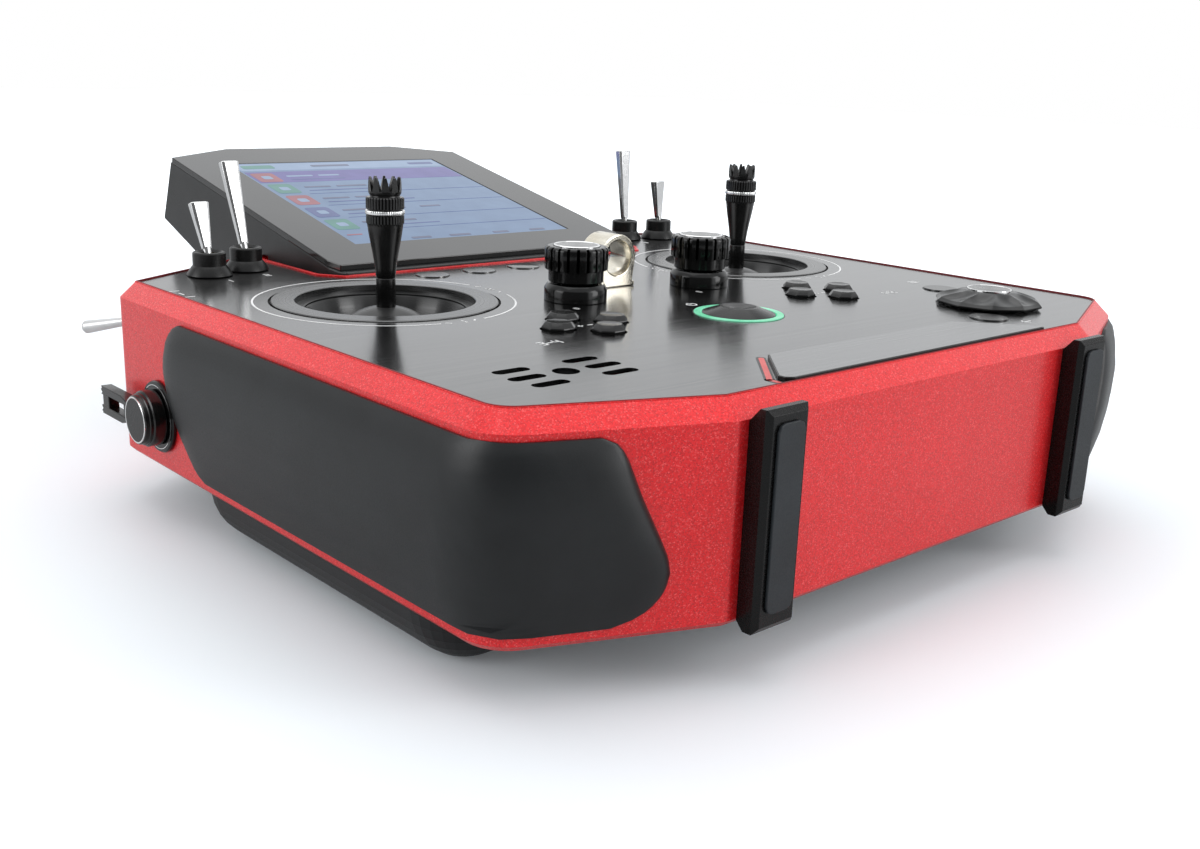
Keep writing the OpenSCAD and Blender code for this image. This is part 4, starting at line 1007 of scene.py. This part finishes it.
def stroke(a, b, width):
    """Outline of a straight line with round ends from a to b."""
    return bar((a[0] + b[0]) / 2, (a[1] + b[1]) / 2, dist(a, b) + width, width,
               degrees(atan2(b[1] - a[1], b[0] - a[0])))


def figures(text, x, y, high, width=FIGURE_W):
    """Outlines of plain figures, centred on (x, y)."""
    wide = high * 0.5
    pitch = wide * 1.55
    left = x - (pitch * (len(text) - 1) + wide) / 2
    for i, sign in enumerate(text):
        for code in DIGITS[sign]:
            ends = ((left + pitch * i + wide * u, y + high * (v / 2 - 0.5)) for u, v in STROKES[int(code)])
            yield stroke(*ends, width)


def polyline(points, width):
    return [stroke(a, b, width) for a, b in zip(points, points[1:])]


def plate_print_and_gap_shade():
    white, red, black = range(3)
    marks = Shape()

    def lay(outlines, ink=white, thick=INK_T):
        for outline in outlines:
            marks.add(prism(outline, 0.0, thick), mark=ink)

    for s, _ in SIDES:
        x, y = s * GIMBAL[0], GIMBAL[1]
        for start, end, steps in SCALE_ARCS[s]:
            lay([arc_band(x, y, SCALE_R, SCALE_W, start, end, steps)])
        for middle, half, text in ((-90, 6.5, "1"), (INNER_SIDE[s], 8.5, "2")):
            for k in (-1, 1):
                a = radians(middle + half * k)
                slant = middle + half * k + 90 + TICK_SLANT * k
                lay([bar(x + SCALE_R * cos(a), y + SCALE_R * sin(a), TICK_L, TICK_W, slant)])
            a = radians(middle)
            lay(figures(text, x + SCALE_R * cos(a), y + SCALE_R * sin(a), SCALE_FIGURE_H))
        for text, (figure_x, figure_y) in zip(TOGGLE_FIGURES[s], TOGGLE_FIGURES_AT):
            lay(figures(text, s * figure_x, figure_y, TOGGLE_FIGURE_H))
        for x in (s * TRIM[0] - SIGN_D, s * TRIM[0] + SIGN_D):
            lay([bar(x, TRIM[1], SIGN_L, SIGN_W)])
        lay([bar(s * TRIM[0] - SIGN_D, TRIM[1], SIGN_L, SIGN_W, 90)])
    for row in FIGURES:
        lay(figures(*row))
    lay(bar(*row) for row in EDGE_MARKS)
    lay([arc_band(*POWER_ARC), bar(*POWER_STROKE)])
    lay(bar(*row) for row in MENU_STROKES)
    lay([*polyline(ARROW_HEAD, FIGURE_W), bar(*ARROW_SHAFT)])
    # black bands along the slit: painted shade
    lay(polyline(SLIT, SLIT_W), black, LINE_T)
    lay(polyline(INLAY, INLAY_W), red)
    # dark gaps round the power ring and the flat buttons: black bands of painted shade
    for x, y, r in ((0, POWER_Y, POWER_GAP_R), *((x, y, FLAT_GAP_R) for x, y in FLAT_BUTTONS)):
        lay([arc_band(x, y, r, GAP_W, a, a + 180) for a in (0, 180)], black, LINE_T)
    piece("plate_print_and_gap_shade", marks, [INK, RED_INK, GAP_SHADE_BLACK])


plate_print_and_gap_shade()


# ---- display picture
PICTURE_Z, PICTURE_T = -0.2, 0.03  # on the panel, below the bezel's face
PICTURE_HALF = 45.3


def display_picture():
    """A made-up menu: a bar at the top, five rows with icons, and labels over the buttons."""
    lavender, blue, green, red, dark, pale = range(len(SCREEN_INKS))
    picture = Shape()

    def patch(x0, x1, s0, s1, ink, r=0.0, level=0):
        """A patch from x0 to x1 and from s0 to s1 up the tilted display, its corners rounded by r."""
        outline = [(x0, s0), (x1, s0), (x1, s1), (x0, s1)]
        if r:
            outline = rounded(outline, r, 4)
        z = PICTURE_Z + PICTURE_T * level
        picture.add(prism(outline, z, z + PICTURE_T), HEAD, ink)

    patch(-PICTURE_HALF, PICTURE_HALF, 100.2, 108.8, pale)
    patch(-43.2, -30, 102.6, 106.8, green, 1.0, 1)
    patch(-14, 3, 103.6, 105.8, dark, 0.8, 1)
    patch(31, 43, 103.4, 105.9, blue, 0.8, 1)
    # the first row is the chosen one, on a bar of its own
    patch(-PICTURE_HALF, PICTURE_HALF, 85.4, 98.6, lavender)
    rows = ((86.2, red), (72.6, green), (59.0, red), (45.2, blue), (31.8, green))
    for row, (s, ink) in enumerate(rows):
        patch(-44.2, -35, s, s + 10.8, ink, 1.4, 1)
        patch(-41.4, -37.6, s + 3.4, s + 7.2, pale, 0.9, 2)
        for k, (x, w) in enumerate(((-31, 11), (-17.5, 9 + 4 * (row % 2)), (2, 9))):
            if k < 2 or row % 2:
                patch(x, x + w, s + 5.6, s + 7.2, dark if row else pale, 0.5, 1)
        patch(-31, -8 + 7 * (row % 3), s + 2.0, s + 2.8, blue, 0.3, 1)
        if row:
            patch(-33, PICTURE_HALF, s - 1.5, s - 1.2, blue, 0, 1)
    for x, w in ((-34, 8), (-18.4, 8), (-2, 9), (16, 7), (33, 7)):
        patch(x - w / 2, x + w / 2, 18.8, 20.6, dark, 0.6, 1)
    patch(-44, -38, 26, 27, red, 0.4, 1)
    piece("display_picture", picture, SCREEN_INKS)


display_picture()


# ---- floor, light and camera
def make_floor():
    """An overexposed white table. It throws less light back on the object than the picture shows."""
    t = Finish("white_table")
    cloud = t.spread(t.noise(6, 3), 0, 1)
    seen = t.mix(cloud, (0.91, 0.955, 0.985), (0.92, 0.96, 1.0))
    thrown = t.mix(cloud, (0.50, 0.51, 0.52), (0.53, 0.54, 0.55))
    to_camera = t.add("ShaderNodeLightPath").outputs["Is Camera Ray"]
    t.set(Base_Color=t.mix(to_camera, thrown, seen))
    # The table's glow for the camera fades towards the object, round (-0.08, -0.08) m: painted shadow round
    # the object.
    from_middle = t.vector("LENGTH", t.mapped((1, 1, 0), (0.08, 0.08, 0)), out="Value")
    far = t.spread(from_middle, 0, 1, 0.25, 1.0)
    t.set(Emission_Color=t.mix(cloud, (0.90, 0.95, 1.0), (0.92, 0.96, 1.0)))
    t.set(Emission_Strength=t.spread(t.math("MULTIPLY", to_camera, far), 0.06, 0.70, 0, 1))
    return t.set(Roughness=t.spread(t.noise(400), 0.45, 0.55), Specular_IOR_Level=0.2)


bpy.ops.mesh.primitive_plane_add(size=8, location=(0, 0, 0))
floor = bpy.context.object
floor.name = "floor"
floor.data.materials.append(make_floor())

VIEW_SIDE = (-0.673, -0.74, 0.0)  # level direction from the object to the camera
# What the object mirrors: tones from the camera's side, at 0, round either way to behind the object, at 1
STUDIO_TONES = [(0, 0.08), (0.15, 0.10), (0.22, 0.95), (0.40, 0.95), (0.52, 0.26), (0.66, 0.28),
                (0.78, 0.56), (1, 0.56)]


def studio():
    """White for the camera. The object mirrors a dimmer room, with a bright strip on either side."""
    world = bpy.context.scene.world or bpy.data.worlds.new("world")
    bpy.context.scene.world = world
    world.use_nodes = True
    t = Tree(world.node_tree)
    out = next(n for n in t.tree.nodes if n.type == "OUTPUT_WORLD")
    direction = t.add("ShaderNodeTexCoord").outputs["Generated"]
    level = t.vector("NORMALIZE", t.vector("MULTIPLY", direction, (1, 1, 0)))
    away = t.math("MULTIPLY_ADD", t.vector("DOT_PRODUCT", level, VIEW_SIDE, "Value"), -0.5, 0.5)
    height = t.add("ShaderNodeSeparateXYZ", {0: direction}).outputs["Z"]
    overhead = t.spread(height, 0, 1, 0.4, 0.8)
    tone = t.mix(overhead, t.ramp(away, STUDIO_TONES), (0.40, 0.40, 0.40))
    tinted = t.mix(1.0, tone, (0.97, 0.985, 1.0), "MULTIPLY")
    strength = t.spread(height, 1.45, 2.1, 0, 0.5)
    mirrored = t.add("ShaderNodeBackground", {"Color": tinted, "Strength": strength})
    seen = t.add("ShaderNodeBackground", {"Color": (1, 1, 1), "Strength": 1.0})
    to_camera = t.add("ShaderNodeLightPath").outputs["Is Camera Ray"]
    mixed = t.add("ShaderNodeMixShader", {0: to_camera, 1: mirrored.outputs[0], 2: seen.outputs[0]})
    t.tree.links.new(mixed.outputs[0], out.inputs["Surface"])


studio()

LIT_POINT = (0, 0, 0.05)


def soft_light(name, where, size, power):
    """A rectangular light that faces the object."""
    light = bpy.data.lights.new(name, "AREA")
    light.shape = "RECTANGLE"
    light.size, light.size_y = size
    light.energy = power
    lamp = bpy.data.objects.new(name, light)
    lamp.location = where
    lamp.rotation_euler = (Vector(LIT_POINT) - Vector(where)).to_track_quat("-Z", "Y").to_euler()
    bpy.context.scene.collection.objects.link(lamp)


soft_light("overhead", (0.1, 0.25, 1.6), (1.8, 1.8), 9)
soft_light("front_right", (0.9, -1.3, 0.7), (0.7, 1.1), 7)
soft_light("left", (-1.5, 0.35, 0.7), (1.0, 0.6), 4.5)

# The camera's place and axes in the row frame, fitted to the photo's perspective
CAMERA_AT = (-0.2702, -0.326537, 0.1322)
RIGHT_AXIS = (0.7455142, -0.6655895, 0.0346284)
UP_AXIS = (0.1544426, 0.2230634, 0.9624917)
BACK_AXIS = (-0.6483487, -0.7122031, 0.2690923)

camera = bpy.data.cameras.new("camera")
camera.sensor_width = 36
camera.lens = 38.42
camera.clip_start = 0.01
holder = bpy.data.objects.new("camera", camera)
look = Matrix((RIGHT_AXIS, UP_AXIS, BACK_AXIS)).transposed().to_4x4()
look.translation = Vector(CAMERA_AT)
holder.matrix_world = look
bpy.context.scene.collection.objects.link(holder)
bpy.context.scene.camera = holder
bpy.context.scene.view_settings.view_transform = "Standard"
bpy.context.scene.view_settings.look = "None"
